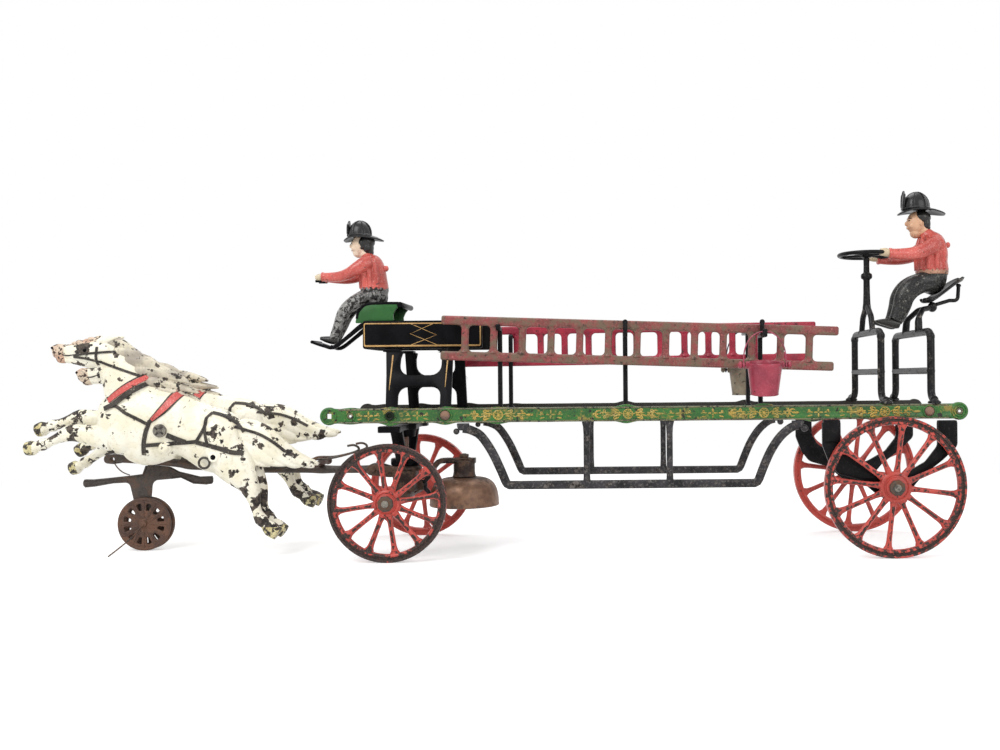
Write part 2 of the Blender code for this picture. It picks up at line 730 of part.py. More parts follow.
def bucket(name, colour, side, rim):
    y = side * BUCKET_Y
    x = RACK_X[2]
    base = rim - BUCKET_DEPTH
    wall = BUCKET_WALL
    profile = [(0.0, rim - BUCKET_DEPTH + wall), (BUCKET_BASE_R - wall, base + wall),
               (BUCKET_RIM_R - wall - 0.6, rim), (BUCKET_RIM_R, rim), (BUCKET_RIM_R, rim - 1.8),
               (BUCKET_BASE_R, base), (0.0, base)]
    pail = turned(name, profile, (x, y, 0), steps=16)
    ear = rim - EAR_DROP
    for way in (-1, 1):
        stub = pin("ear", 1.0, BUCKET_RIM_R - 1.4, EYE_X + 1.9, (0, 0, 0), "X", 6,
                   heads=((BUCKET_RIM_R - 1.4, BUCKET_RIM_R + 0.8, 2.4), (EYE_X + 0.9, EYE_X + 1.9, 1.9)))
        if way < 0:
            stub.data.transform(Matrix.Rotation(math.pi, 4, "Z"))
        stub.data.transform(Matrix.Translation(Vector((x, y, ear)) * MM))
        pail = join(name, pail, stub)
    hang = hook_floor(side, x) - HOOK_THICK + 2.6 + BAIL_CLEAR + BAIL_R
    arc = []
    for k in range(9):
        angle = math.pi * k / 8
        arc.append((x - EYE_X * math.cos(angle), y, ear + 1.6 + (hang - ear - 1.6) * math.sin(angle) ** 0.8))
    wire = tube(name + "_bail", arc, BAIL_R, 6)
    for way in (-1, 1):
        eye = plate("eye", ring_points(y, ear, 2.5, 8), 1.4, "YZ", x + way * EYE_X,
                    [ring_points(y, ear, 1.4, 6)])
        wire = join(name + "_bail", wire, eye)
    swing = pivot(name + "_hook", (x, y, hang))
    finish(wire, name + "_bail", IRON, (x, y, hang), swing)
    finish(pail, name, colour, (x, y, ear), swing)


bucket("near_bucket", PINK, -1, NEAR_BUCKET_RIM_Z)
bucket("far_bucket", BEIGE, 1, FAR_BUCKET_RIM_Z)

# Steering stand: an arch between the rails, a fork and the column with a loose wheel

FOOT_Z = RAIL_TOP_Z + GAP


def arch(name, x, half, top, bar_z, radius):
    """A bent bar whose feet turn out onto the rails, with a cross bar."""
    foot = FOOT_Z + radius
    line = [(x, -RAIL_Y, foot), (x, -half, foot + 1.0), (x, -half, top - radius), (x, half, top - radius),
            (x, half, foot + 1.0), (x, RAIL_Y, foot)]
    frame = tube(name, bent(line, 7.0, 2), radius, 6)
    bar = tube("bar", [(x, -half, bar_z), (x, half, bar_z)], radius - 0.4, 4)
    frame = join(name, frame, bar)
    for side in (-1, 1):
        pad = pin("pad", 4.6, 0.0, 1.8, (x, side * (RAIL_Y - 0.2), FOOT_Z), "Z", 6)
        frame = join(name, frame, pad)
    return frame


stand = arch("steering_stand", STAND_X, STAND_HALF_WIDTH, STAND_TOP_Z, 136.4, STAND_R)
for side in (-1, 1):
    prong = tube("prong", bent([(STAND_X, side * 18.0, STAND_TOP_Z - STAND_R), (STAND_X, side * 13.0, 180.0),
                                (STAND_X, side * 1.0, 189.0)], 6.0, 1), 2.2, 4)
    stand = join("steering_stand", stand, prong)
HUB_TOP = STEERING_Z + 2.2
HUB_LOW = STEERING_Z - 2.2
column = turned("column", [(0.0, HUB_TOP + 1.6), (2.4, HUB_TOP + 1.2), (2.8, HUB_TOP + GAP),
                           (1.4, HUB_TOP + GAP), (1.4, HUB_LOW - GAP), (COLUMN_R, HUB_LOW - GAP),
                           (COLUMN_R, 214.3), (4.1, 213.2), (4.1, 211.4), (COLUMN_R, 210.3),
                           (COLUMN_R, 186.0), (0.0, 186.0)], (STAND_X, 0, 0), "Z", 8)
stand = join("steering_stand", stand, column)
finish(stand, "steering_stand", BLACK, (STAND_X, 0, FOOT_Z))

ring = ring_points(STEERING_R, STEERING_Z, STEERING_WIRE_R, 6)
steering = turned("steering_wheel", ring[::-1], (STAND_X, 0, 0), "Z", 20, closed=True)
hub = turned("hub", [(1.7, HUB_TOP), (3.8, HUB_TOP), (4.6, STEERING_Z), (3.8, HUB_LOW), (1.7, HUB_LOW)],
             (STAND_X, 0, 0), "Z", 8, closed=True)
steering = join("steering_wheel", steering, hub)
for k in range(4):
    turn = math.radians(45.0 + 90.0 * k)
    near = Vector((STAND_X + 3.2 * math.cos(turn), 3.2 * math.sin(turn), STEERING_Z))
    far = Vector((STAND_X + STEERING_R * math.cos(turn), STEERING_R * math.sin(turn), STEERING_Z))
    steering = join("steering_wheel", steering, tube("arm", [near, far], 1.1, 4))
spin = pivot("steering_axis", (STAND_X, 0, STEERING_Z))
finish(steering, "steering_wheel", BLACK, (STAND_X, 0, STEERING_Z), spin)

# Seat stand: a second arch, two curved legs that meet under the dished seat

seat_stand = arch("seat_stand", SEAT_STAND_X, SEAT_STAND_HALF_WIDTH, 169.2, 136.8, STAND_R + 0.2)
for side in (-1, 1):
    leg = tube("leg", bent([(SEAT_STAND_X, side * 18.0, 166.4), (SEAT_STAND_X + 0.6, side * 16.0, 178.0),
                            (SEAT_STAND_X + 7.0, side * 6.0, 185.5), (SEAT_STAND_X + 16.0, 0.0, 187.2)], 7.0, 1),
               2.2, 6)
    seat_stand = join("seat_stand", seat_stand, leg)
ball = turned("ball", [(0, 4.55), (3.4, 2.1), (3.4, -1.7), (0, -3.8)], (SEAT_STAND_X + 16.4, 0, 187.4),
              steps=8)
seat_stand = join("seat_stand", seat_stand, ball)
brace = tube("brace", bent([(SEAT_STAND_X + 16.0, 0, 188.2), (SEAT_STAND_X + 30.0, 0, 192.6),
                            (SEAT_STAND_X + 36.6, 0, 192.6), (SEAT_STAND_X + 37.4, 0, 204.7)], 3.0, 1), 1.5, 4)
seat_stand = join("seat_stand", seat_stand, brace)
finish(seat_stand, "seat_stand", BLACK, (SEAT_STAND_X, 0, FOOT_Z))

SEAT_LINE = ((10.7, 192.6, 8.0), (16.7, 193.5, 12.5), (24.2, 198.4, 14.5), (32.7, 204.8, 13.5), (39.9, 208.4, 8.5))
dish = limb("tiller_seat", [(SEAT_STAND_X + x, z, 1.2, wide) for x, z, wide in SEAT_LINE], 10)
finish(dish, "tiller_seat", BLACK, (SEAT_STAND_X + 16.4, 0, 191.5))

# Rear hangers, axles and wheels

HANGER_SHAPE = (
    (-51.4, 98.9), (-37.9, 98.9), (-37.9, 84.0, 2.0), (-33.3, 76.0, 3.0), (-9.3, 60.5, 4.0), (8.7, 60.5, 4.0),
    (24.7, 69.5, 3.0), (33.7, 81.0, 3.0), (33.7, 98.4), (48.3, 98.4), (48.3, 81.0, 3.0), (37.7, 71.0, 3.0),
    (21.7, 58.5, 3.0), (8.7, 43.0, 5.0), (-8.3, 43.0, 5.0), (-24.3, 56.5, 3.0), (-39.9, 61.0, 3.0),
    (-46.8, 70.0, 3.0), (-51.4, 82.0, 2.0))
HANGER = rounded([(REAR_AXLE_X + corner[0], *corner[1:]) for corner in HANGER_SHAPE], 1)
for name, side in (("near_rear_hanger", -1), ("far_rear_hanger", 1)):
    eye = [ring_points(REAR_AXLE_X, REAR_WHEEL_R, AXLE_R + GAP, 10)]
    hanger = plate(name, HANGER, RAIL_THICK, "XZ", side * RAIL_Y, eye)
    for left, right, high in ((-51.4, -37.9, 98.9), (33.7, 48.3, 98.4)):
        left += REAR_AXLE_X
        right += REAR_AXLE_X
        shoe = box("shoe", (left + 0.4, side * RAIL_Y - 3.4, 84.4), (right - 0.4, side * RAIL_Y + 3.4, high - 0.2))
        hanger = join(name, hanger, shoe)
    finish(hanger, name, BLACK, (REAR_AXLE_X, side * RAIL_Y, REAR_WHEEL_R))


def axle(name, x, z, parent=None):
    end = WHEEL_Y + HUB_OUT + GAP
    bar = pin(name, AXLE_R, -end - NUT_LENGTH, end + NUT_LENGTH, (x, 0, z), "Y", 8,
              heads=((end, end + NUT_LENGTH, NUT_R), (-end - NUT_LENGTH, -end, NUT_R)))
    return finish(bar, name, IRON, (x, 0, z), parent)


def spoked_wheel(name, radius, hub_r, phase):
    """A wheel about its own origin: rim, tapered spokes and a turned hub, with its axis along Y."""
    half = TREAD_WIDTH / 2.0
    inner = radius - RIM_DEPTH
    rim = turned(name, [(inner, half - 1.2), (radius - 1.0, half), (radius, 0.0), (radius - 1.0, -half),
                        (inner, 1.2 - half)], axis="Y", steps=24, closed=True)
    openings = []
    for k in range(SPOKES):
        middle = 2.0 * math.pi * (k + 0.5) / SPOKES + math.radians(phase)
        root = hub_r * 0.72
        near = math.pi / SPOKES - math.asin(SPOKE_WIDTH / 2.0 / root)
        far = math.pi / SPOKES - math.asin((SPOKE_WIDTH / 2.0 + 0.3) / inner)
        corners = [(root, -near), (inner + 1.6, -far), (inner + 1.6, far), (root, near)]
        openings.append([(r * math.cos(middle + turn), r * math.sin(middle + turn)) for r, turn in corners])
    web = plate("spokes", ring_points(0, 0, inner + 3.0, 24, 0.03), SPOKE_THICK, "XZ", 0.0,
                openings + [ring_points(0, 0, AXLE_R + 2.0, 6)])
    hub = turned("hub", [(AXLE_R + GAP, HUB_OUT), (hub_r * 0.64, HUB_OUT), (hub_r, 0.0),
                         (hub_r * 0.66, -HUB_IN), (AXLE_R + GAP, -HUB_IN)], axis="Y", steps=10, closed=True,
                 phase=0.07)
    return join(name, rim, web, hub)


def place_wheel(name, pattern, x, z, side, parent=None):
    """A wheel on its axis; the far one is the same casting turned about."""
    centre = Vector((x, side * WHEEL_Y, z)) * MM
    hub_axis = pivot(name + "_axis", (x, side * WHEEL_Y, z), parent)
    wheel = adopt(bpy.data.objects.new(name, pattern))
    wheel.parent = hub_axis
    wheel.rotation_euler = (0.0, 0.0, 0.0 if side > 0 else math.pi)
    return wheel


front_pattern = finish(spoked_wheel("front_wheel", FRONT_WHEEL_R, 9.6, 6.5), "front_wheel", RED).data
rear_pattern = finish(spoked_wheel("rear_wheel", REAR_WHEEL_R, 11.2, -7.0), "rear_wheel", RED).data
for name in ("front_wheel", "rear_wheel"):
    bpy.data.objects.remove(bpy.data.objects[name], do_unlink=True)

truck = pivot("front_truck_axis", (FRONT_AXLE_X, 0, TURNTABLE_Z))
axle("rear_axle", REAR_AXLE_X, REAR_WHEEL_R)
axle("front_axle", FRONT_AXLE_X, FRONT_WHEEL_R, truck)
for prefix, side in (("near", -1), ("far", 1)):
    place_wheel(prefix + "_front_wheel", front_pattern, FRONT_AXLE_X, FRONT_WHEEL_R, side, truck)
    place_wheel(prefix + "_rear_wheel", rear_pattern, REAR_AXLE_X, REAR_WHEEL_R, side)

# Front bolster: a bar under the rails whose two curved legs carry the upper turntable ring

bolster = box("front_bolster", (-98.0, -57.8, 94.2), (-66.0, 57.8, 98.9))
boss = pin("boss", 8.0, 88.6, 95.6, (FRONT_AXLE_X, 0, 0), "Z", 10)
bolster = join("front_bolster", bolster, boss)
for side in (-1, 1):
    leg = plate("leg", strip([(side * 30.0, 95.6), (side * 27.0, 88.0), (side * 19.0, 78.0), (side * 9.0, 68.6)], 5.0),
                9.0, "YZ", FRONT_AXLE_X)
    bolster = join("front_bolster", bolster, leg)
ring = pin("ring", TURNTABLE_R, TURNTABLE_Z + 1.0, 71.2, (FRONT_AXLE_X, 0, 0), "Z", 12)
bolster = join("front_bolster", bolster, ring)
bore = pin("bore", KING_PIN_R + GAP, 60.0, 110.0, (FRONT_AXLE_X, 0, 0), "Z", 10)
finish(cut(bolster, bore), "front_bolster", BLACK, (FRONT_AXLE_X, 0, 94.2))

king = pin("king_pin", KING_PIN_R, 52.0, 101.6, (FRONT_AXLE_X, 0, 0), "Z", 10, heads=((98.9 + GAP, 101.6, 5.0),))
finish(king, "king_pin", IRON, (FRONT_AXLE_X, 0, TURNTABLE_Z))

# Truck: lower turntable, neck, axle housing and the jaws for the pole, in one casting

body = pin("truck_body", TURNTABLE_R + 0.8, 61.0, TURNTABLE_Z + 1.0 - GAP, (FRONT_AXLE_X, 0, 0), "Z", 12)
body = join("truck_body", body, box("neck", (-87.4, -12.0, 45.0), (-71.0, 12.0, 62.0)))
body = join("truck_body", body, box("housing", (-84.4, -53.0, 37.8), (-74.0, 53.0, 48.8)))
for side in (-1, 1):
    jaw = plate("jaw", rounded([(-84.0, 56.6), (-84.0, 64.8), (-94.0, 64.8), (-97.0, 66.6), (-109.0, 66.6, 3.8),
                                (-109.0, 58.4, 3.8), (-92.0, 56.6)], 1), 3.4, "XZ", side * (POLE_R + 2.7))
    body = join("truck_body", body, jaw)
hinge = pin("hinge", 1.6, -6.6, 6.6, (POLE_HINGE[0], 0, POLE_HINGE[1]), "Y", 6)
body = join("truck_body", body, hinge)
lug = plate("lug", strip([(-75.0, 46.5), (-67.6, 48.4)], 7.0), 3.0, "XZ", 10.0)
stud = pin("stud", 1.6, 9.0, 17.8, (HAMMER_PIVOT[0], 0, HAMMER_PIVOT[1]), "Y", 6, heads=((16.6, 17.8, 2.8),))
body = join("truck_body", body, lug, stud)
body = cut(body, pin("bore", KING_PIN_R + GAP, 51.7, 80.0, (FRONT_AXLE_X, 0, 0), "Z", 10),
           pin("bore", AXLE_R + GAP, -60.0, 60.0, (FRONT_AXLE_X, 0, FRONT_WHEEL_R), "Y", 12))
finish(body, "truck_body", RUST, (FRONT_AXLE_X, 0, TURNTABLE_Z), truck)

# Bell under its bracket, with the bolt that holds it and the hammer beside it

PLATE_Z = 68.8
bracket = plate("bell_bracket", strip([(-69.8, 55.0), (-60.0, 59.6), (-51.0, PLATE_Z), (-23.6, PLATE_Z)], 4.2), 9.0)
drum = pin("drum", 9.0, BELL_TOP_Z + GAP, PLATE_Z, (BELL_X, 0, 0), "Z", 12)
bracket = join("bell_bracket", bracket, drum)
bracket = cut(bracket, pin("bore", 2.0 + GAP, 50.0, 80.0, (BELL_X, 0, 0), "Z", 8))
finish(bracket, "bell_bracket", RUST, (-70.6, 0, 55.0), truck)

outer = [(2.3, BELL_TOP_Z), (10.0, BELL_TOP_Z), (18.6, 52.4), (24.2, 45.0), (25.9, 36.4), (BELL_R, BELL_MOUTH_Z)]
inner = [(max(2.3, r - BELL_WALL), z - (BELL_WALL if z > 50.0 else BELL_WALL * 0.4)) for r, z in outer[:-1]]
del inner[3]
bell = turned("bell", outer + [(BELL_R - BELL_WALL, BELL_MOUTH_Z)] + inner[::-1], (BELL_X, 0, 0), "Z", 20, closed=True)
finish(bell, "bell", COPPER, (BELL_X, 0, BELL_TOP_Z), truck)
top = PLATE_Z + 2.1 + GAP
under = BELL_TOP_Z - BELL_WALL - GAP
bolt = pin("bell_bolt", 2.0, under - 2.4, top + 3.4, (BELL_X, 0, 0), "Z", 6,
           heads=((top, top + 2.4, 4.0), (under - 2.4, under, 4.4)))
finish(bolt, "bell_bolt", IRON, (BELL_X, 0, BELL_TOP_Z), truck)

px, pz = HAMMER_PIVOT
lever = plate("bell_hammer", strip([(px + 8.0, pz + 8.6), (px, pz), (px + 7.4, pz - 8.8)], 3.4), 2.6, "XZ", 14.6)
lever = join("bell_hammer", lever, plate("eye", ring_points(px, pz, 3.8, 8), 2.4, "XZ", 14.6))
knob = turned("knob", [(0, 2.7), (2.4, 1.2), (2.4, -1.2), (0, -2.7)], (px + 7.6, 14.6, pz - 9.2), steps=6)
lever = cut(join("bell_hammer", lever, knob), pin("bore", 1.6 + GAP, 10.0, 20.0, (px, 0, pz), "Y", 8))
strike = pivot("bell_hammer_axis", (px, 14.6, pz), truck)
finish(lever, "bell_hammer", IRON, (px, 14.6, pz), strike)

# Pole: a round bar that rises to the horses' chests, an eye at the tip and a lug for the horses' rod

drawbar = pivot("pole_axis", (POLE_HINGE[0], 0, POLE_HINGE[1]), truck)
POLE_LINE = ((-104.0, 62.5), (-134.7, 62.6), (-196.8, 63.4), (-240.0, 66.0), (-290.6, 71.4), (-311.0, 72.4))
pole = tube("pole", [(x, 0, z) for x, z in POLE_LINE], POLE_R, 6)
eye = plate("eye", ring_points(*POLE_HINGE, 4.8, 10), 7.2)
tip = plate("tip", rounded([(-318.4, 75.6, 3.0), (-318.4, 69.2, 3.0), (-304.0, 69.6, 2.0), (-304.0, 75.2, 2.0)], 2), 5.0)
lug = plate("lug", rounded([(-257.0, 68.0), (-245.6, 68.0), (-246.8, 87.9, 4.0), (-255.8, 87.9, 4.0)], 2), 4.4)
pole = join("pole", pole, eye, tip, lug)
pole = cut(pole, pin("bore", 1.6 + GAP, -9.0, 9.0, (POLE_HINGE[0], 0, POLE_HINGE[1]), "Y", 8),
           pin("bore", 1.4, -9.0, 9.0, (-311.4, 0, 72.4), "Y", 8),
           pin("bore", PIVOT_ROD_R + GAP, -9.0, 9.0, (HORSE_PIVOT[0], 0, HORSE_PIVOT[1]), "Y", 8))
finish(pole, "pole", RUST, (POLE_HINGE[0], 0, POLE_HINGE[1]), drawbar)

# Whippletree across the pole, with a trace wire on each side

TREE_X = -146.0
TREE_Z = 62.6 + POLE_R + GAP + 2.2
TRACE_Y = 11.5
tree = tube("whippletree", [(TREE_X, -19.0, TREE_Z), (TREE_X, 19.0, TREE_Z)], 2.2, 8)
knob = pin("knob", 2.6, TREE_Z, TREE_Z + 5.4, (TREE_X, 0, 0), "Z", 10)
finish(join("whippletree", tree, knob), "whippletree", RUST, (TREE_X, 0, TREE_Z), drawbar)
TRACE = ((-178.0, 0.0, 63.3), (-160.0, 0.0, 68.6), (-152.0, 0.0, 71.6), (-140.0, 0.0, 71.8), (-128.0, 0.0, 74.0),
         (-115.0, 0.6, 77.8), (-113.4, 1.2, 80.6), (-117.0, 1.4, 82.6), (-122.0, 0.8, 82.0))
for name, side in (("near_trace", -1), ("far_trace", 1)):
    wire = tube(name, [(x, side * (TRACE_Y + y), z) for x, y, z in TRACE], 0.9, 6)
    finish(wire, name, RUST, (TREE_X, side * TRACE_Y, TREE_Z), drawbar)

# Carriage under the horses: one plate with arms and a leg, and a pair of wheels

CARRIAGE_SHAPE = (
    (-50.3, 57.9, 1.5), (-50.3, 52.4, 1.5), (-13.7, 52.8, 3.0), (-8.8, 37.0, 6.0), (-5.2, 21.0, 3.0),
    (-3.2, 16.0, 3.0), (3.2, 16.0, 3.0), (5.2, 21.0, 3.0), (3.7, 37.0, 6.0), (5.2, 55.0, 4.0),
    (19.8, 56.2, 3.0), (27.7, 57.2, 2.0), (37.8, 52.2, 3.0), (48.3, 51.4, 2.0), (53.2, 52.4, 1.5),
    (53.2, 58.2, 1.5), (42.8, 57.8, 3.0), (25.8, 62.0, 4.0), (18.4, 65.98), (1.8, 67.78),
    (-1.2, 59.6, 3.0), (-12.2, 57.9, 2.0))
CARRIAGE = rounded([(CARRIAGE_X + corner[0], *corner[1:]) for corner in CARRIAGE_SHAPE], 1)
frame = plate("carriage_frame", CARRIAGE, CARRIAGE_PLATE, "XZ", 0.0,
              [ring_points(CARRIAGE_X, CARRIAGE_WHEEL_R, CARRIAGE_AXLE_R + GAP, 10)])
finish(frame, "carriage_frame", RUST, (CARRIAGE_X, 0, CARRIAGE_WHEEL_R), drawbar)


def carriage_wheel(name):
    """A small cast wheel about its own origin, pierced by twelve wedge openings."""
    inner = CARRIAGE_WHEEL_R - 3.0
    openings = [ring_points(0, 0, CARRIAGE_AXLE_R + GAP, 8)]
    for k in range(12):
        middle = 2.0 * math.pi * (k + 0.5) / 12
        wedge = [(6.4, -0.13), (inner, -0.2), (inner, 0.2), (6.4, 0.13)]
        openings.append([(r * math.cos(middle + t), r * math.sin(middle + t)) for r, t in wedge])
    return plate(name, ring_points(0, 0, CARRIAGE_WHEEL_R, 20), CARRIAGE_WHEEL_THICK, "XZ", 0.0, openings)


small_pattern = finish(carriage_wheel("carriage_wheel"), "carriage_wheel", RUST).data
bpy.data.objects.remove(bpy.data.objects["carriage_wheel"], do_unlink=True)
roll_axis = pivot("carriage_wheels_axis", (CARRIAGE_X, 0, CARRIAGE_WHEEL_R), drawbar)
for name, side in (("near_carriage_wheel", -1), ("far_carriage_wheel", 1)):
    wheel = adopt(bpy.data.objects.new(name, small_pattern))
    wheel.parent = roll_axis
    wheel.location = (0.0, side * CARRIAGE_WHEEL_Y * MM, 0.0)
outside = CARRIAGE_WHEEL_Y + CARRIAGE_WHEEL_THICK / 2.0 + GAP
small_axle = pin("carriage_axle", CARRIAGE_AXLE_R, -outside - 1.4, outside + 1.4, (CARRIAGE_X, 0, CARRIAGE_WHEEL_R),
                 "Y", 8, heads=((outside, outside + 1.4, 2.6), (-outside - 1.4, -outside, 2.6)))
finish(small_axle, "carriage_axle", IRON, (CARRIAGE_X, 0, CARRIAGE_WHEEL_R), drawbar)

rod = pin("horse_rod", PIVOT_ROD_R, -HORSE_Y - ROD_PAST - 2.0, HORSE_Y + ROD_PAST + 2.0,
          (HORSE_PIVOT[0], 0, HORSE_PIVOT[1]), "Y", 8,
          heads=((HORSE_Y + ROD_PAST, HORSE_Y + ROD_PAST + 2.0, 3.6),
                 (-HORSE_Y - ROD_PAST - 2.0, -HORSE_Y - ROD_PAST, 3.6)))
finish(rod, "horse_rod", IRON, (HORSE_PIVOT[0], 0, HORSE_PIVOT[1]), drawbar)

# Galloping horse: lofted trunk, neck, head and legs, fused with mane, tail and raised harness

TRUNK = ((-305.5, 101.0, 9.0, 6.5), (-302.0, 101.5, 16.0, 10.5), (-294.0, 103.5, 21.5, 13.0),
         (-281.0, 104.5, 27.5, 14.2), (-266.0, 103.0, 29.5, 14.2), (-250.0, 101.0, 27.0, 13.4),
         (-237.0, 97.5, 23.5, 13.0), (-227.0, 92.0, 24.5, 13.6), (-216.0, 86.5, 25.5, 13.6),
         (-206.0, 82.0, 21.5, 11.0), (-200.0, 81.0, 14.0, 6.5))
NECK = ((-279.0, 112.0, 24.0, 12.4), (-284.0, 126.0, 19.5, 11.2), (-290.0, 138.0, 16.0, 9.6),
        (-296.0, 148.0, 13.0, 8.2), (-301.0, 156.0, 10.5, 7.0))
HEAD = ((-292.5, 157.0, 6.0, 4.5), (-297.0, 156.6, 10.0, 7.0), (-305.0, 156.2, 12.0, 8.2), (-313.0, 155.6, 11.6, 7.8),
        (-322.0, 155.0, 10.2, 6.4), (-330.0, 155.8, 8.0, 5.2), (-337.0, 155.6, 6.0, 4.8), (-341.6, 155.8, 3.4, 3.2))
FORELEG_UP = ((-292.0, 99.0, 10.0, 6.0), (-306.0, 101.4, 7.0, 5.0),
              (-323.0, 105.2, 5.0, 4.0), (-336.0, 103.4, 3.2, 2.9),
              (-347.5, 99.8, 4.2, 3.6), (-353.0, 98.0, 4.9, 4.2), (-358.3, 97.0, 4.2, 3.8))
FORELEG_LOW = ((-296.0, 92.0, 9.0, 6.0), (-310.0, 92.4, 6.2, 4.8), (-326.0, 94.4, 4.6, 4.0),
               (-337.0, 91.0, 3.3, 3.0), (-350.0, 85.6, 4.1, 3.6),
               (-357.0, 83.4, 5.0, 4.2), (-364.6, 83.2, 4.4, 3.8))
HIND_LEG = ((-214.0, 84.0, 16.0, 7.4), (-203.0, 72.0, 13.0, 6.8), (-193.5, 61.0, 9.4, 5.4), (-187.2, 49.0, 5.4, 4.2),
            (-185.8, 36.0, 3.4, 3.0), (-182.0, 28.0, 3.8, 3.4), (-177.0, 23.0, 4.6, 3.8),
            (-172.0, 18.4, 5.4, 4.4), (-168.4, 16.6, 4.6, 4.0))
MANE = ((-304.0, 163.0), (-299.0, 168.6, 1.5), (-290.4, 169.2, 2.0), (-284.0, 163.0), (-273.0, 157.6, 1.0),
        (-272.0, 152.6), (-256.6, 153.0, 1.0), (-260.0, 147.6), (-247.6, 146.4, 1.0), (-253.4, 140.6),
        (-239.0, 135.2, 1.0), (-252.0, 129.0), (-268.0, 126.0), (-284.0, 134.0), (-294.0, 150.0))
TAIL = ((-207.0, 104.0), (-199.0, 107.4, 3.0), (-178.0, 101.6, 5.0), (-166.0, 90.6, 5.0), (-155.5, 76.6, 3.0),
        (-140.3, 68.0, 0.8), (-152.0, 66.6, 3.0), (-163.0, 69.4, 2.0), (-174.0, 67.6, 2.0), (-186.0, 69.4, 3.0),
        (-199.0, 76.0, 3.0), (-208.0, 88.0))


def hoop(name, first, last, width, half_y, steps=10):
    """A raised harness band right round the horse, between two points of its outline."""
    a = Vector((first[0], 0, first[1]))
    b = Vector((last[0], 0, last[1]))
    middle = (a + b) / 2.0
    across = (b - a).normalized()
    along = Vector((-across.z, 0.0, across.x))
    rings = []
    for shift in (-width / 2.0, width / 2.0):
        ring = []
        for k in range(steps):
            turn = 2.0 * math.pi * (k + 0.5) / steps
            ring.append(middle + along * shift + across * ((b - a).length / 2.0 * math.cos(turn))
                        + Vector((0.0, half_y * math.sin(turn), 0.0)))
        rings.append(ring)
    return loft(name, rings)


def cast_horse(name):
    """The horse in its level pose, its middle plane at y = 0."""
    horse = limb(name, TRUNK, 8)
    horse = join(name, horse, limb("neck", NECK, 8), limb("head", HEAD, 8))
    for side in (-1, 1):
        ear = limb("ear", ((-305.0, 162.0, 2.6, 2.0), (-299.0, 166.0, 2.4, 1.8), (-293.0, 170.2, 0.8, 0.7)), 4,
                   y=side * 4.4)
        horse = join(name, horse, ear)
    horse = join(name, horse, plate("mane", [p[:2] for p in MANE], 7.0),
                 plate("tail", rounded(TAIL, 1), 6.4))
    for shape, y in ((FORELEG_UP, 6.4), (FORELEG_LOW, -6.4), (HIND_LEG, -6.6)):
        horse = join(name, horse, limb("leg", shape, 5, y=y))
    far_hind = [(x + 6.0 * (84.0 - z) / 68.0, z + 4.0 * (84.0 - z) / 68.0, a, b) for x, z, a, b in HIND_LEG]
    horse = join(name, horse, limb("leg", far_hind, 5, y=6.6))
    horse = join(name, horse, hoop("collar", (-264.6, 137.6), (-303.6, 112.6), 5.4, 15.4),
                 hoop("girth", (-250.6, 131.6), (-272.6, 71.0), 5.2, 15.0))
    boss = pin("boss", 4.6, -HORSE_BOSS, HORSE_BOSS, (HORSE_PIVOT[0], 0, HORSE_PIVOT[1]), "Y", 10)
    horse = join(name, horse, boss)
    return cut(horse, pin("bore", PIVOT_ROD_R + GAP, -30.0, 30.0, (HORSE_PIVOT[0], 0, HORSE_PIVOT[1]), "Y", 8))


pattern = finish(cast_horse("horse"), "horse", WHITE, (HORSE_PIVOT[0], 0, HORSE_PIVOT[1])).data
bpy.data.objects.remove(bpy.data.objects["horse"], do_unlink=True)
for name, side, turn in (("near_horse", -1, 0.0), ("far_horse", 1, -HORSE_ROCK)):
    rock = pivot(name + "_axis", (HORSE_PIVOT[0], side * HORSE_Y, HORSE_PIVOT[1]), drawbar)
    horse = adopt(bpy.data.objects.new(name, pattern))
    horse.parent = rock
    horse.rotation_euler = (0.0, math.radians(turn), 0.0)

# Seated figures: each one casting of jacket, head, peaked helmet, arms and legs


def figure(name, colour, shapes, shield, origin):
    """Fuse a seated figure; paired limbs are given once and set at both sides."""
    body = limb(name, shapes["torso"], 8)
    body = join(name, body, limb("head", shapes["head"], 8), limb("crown", shapes["crown"], 8),
                limb("brim", shapes["brim"], 8))
    x, low, high = shield
    crest = plate("shield", [(-4.2, low), (4.2, low), (4.6, high - 5.0), (0.0, high), (-4.6, high - 5.0)], 2.0, "YZ", x)
    body = join(name, body, crest)
    for side in (-1, 1):
        for part, sides in (("arm", 6), ("leg", 6), ("boot", 6)):
            stations = [(x, z, tall, wide, side * y) for x, z, tall, wide, y in shapes[part]]
            body = join(name, body, limb(part, stations, sides))
    return finish(body, name, colour, origin, pivot(name + "_seat", origin))


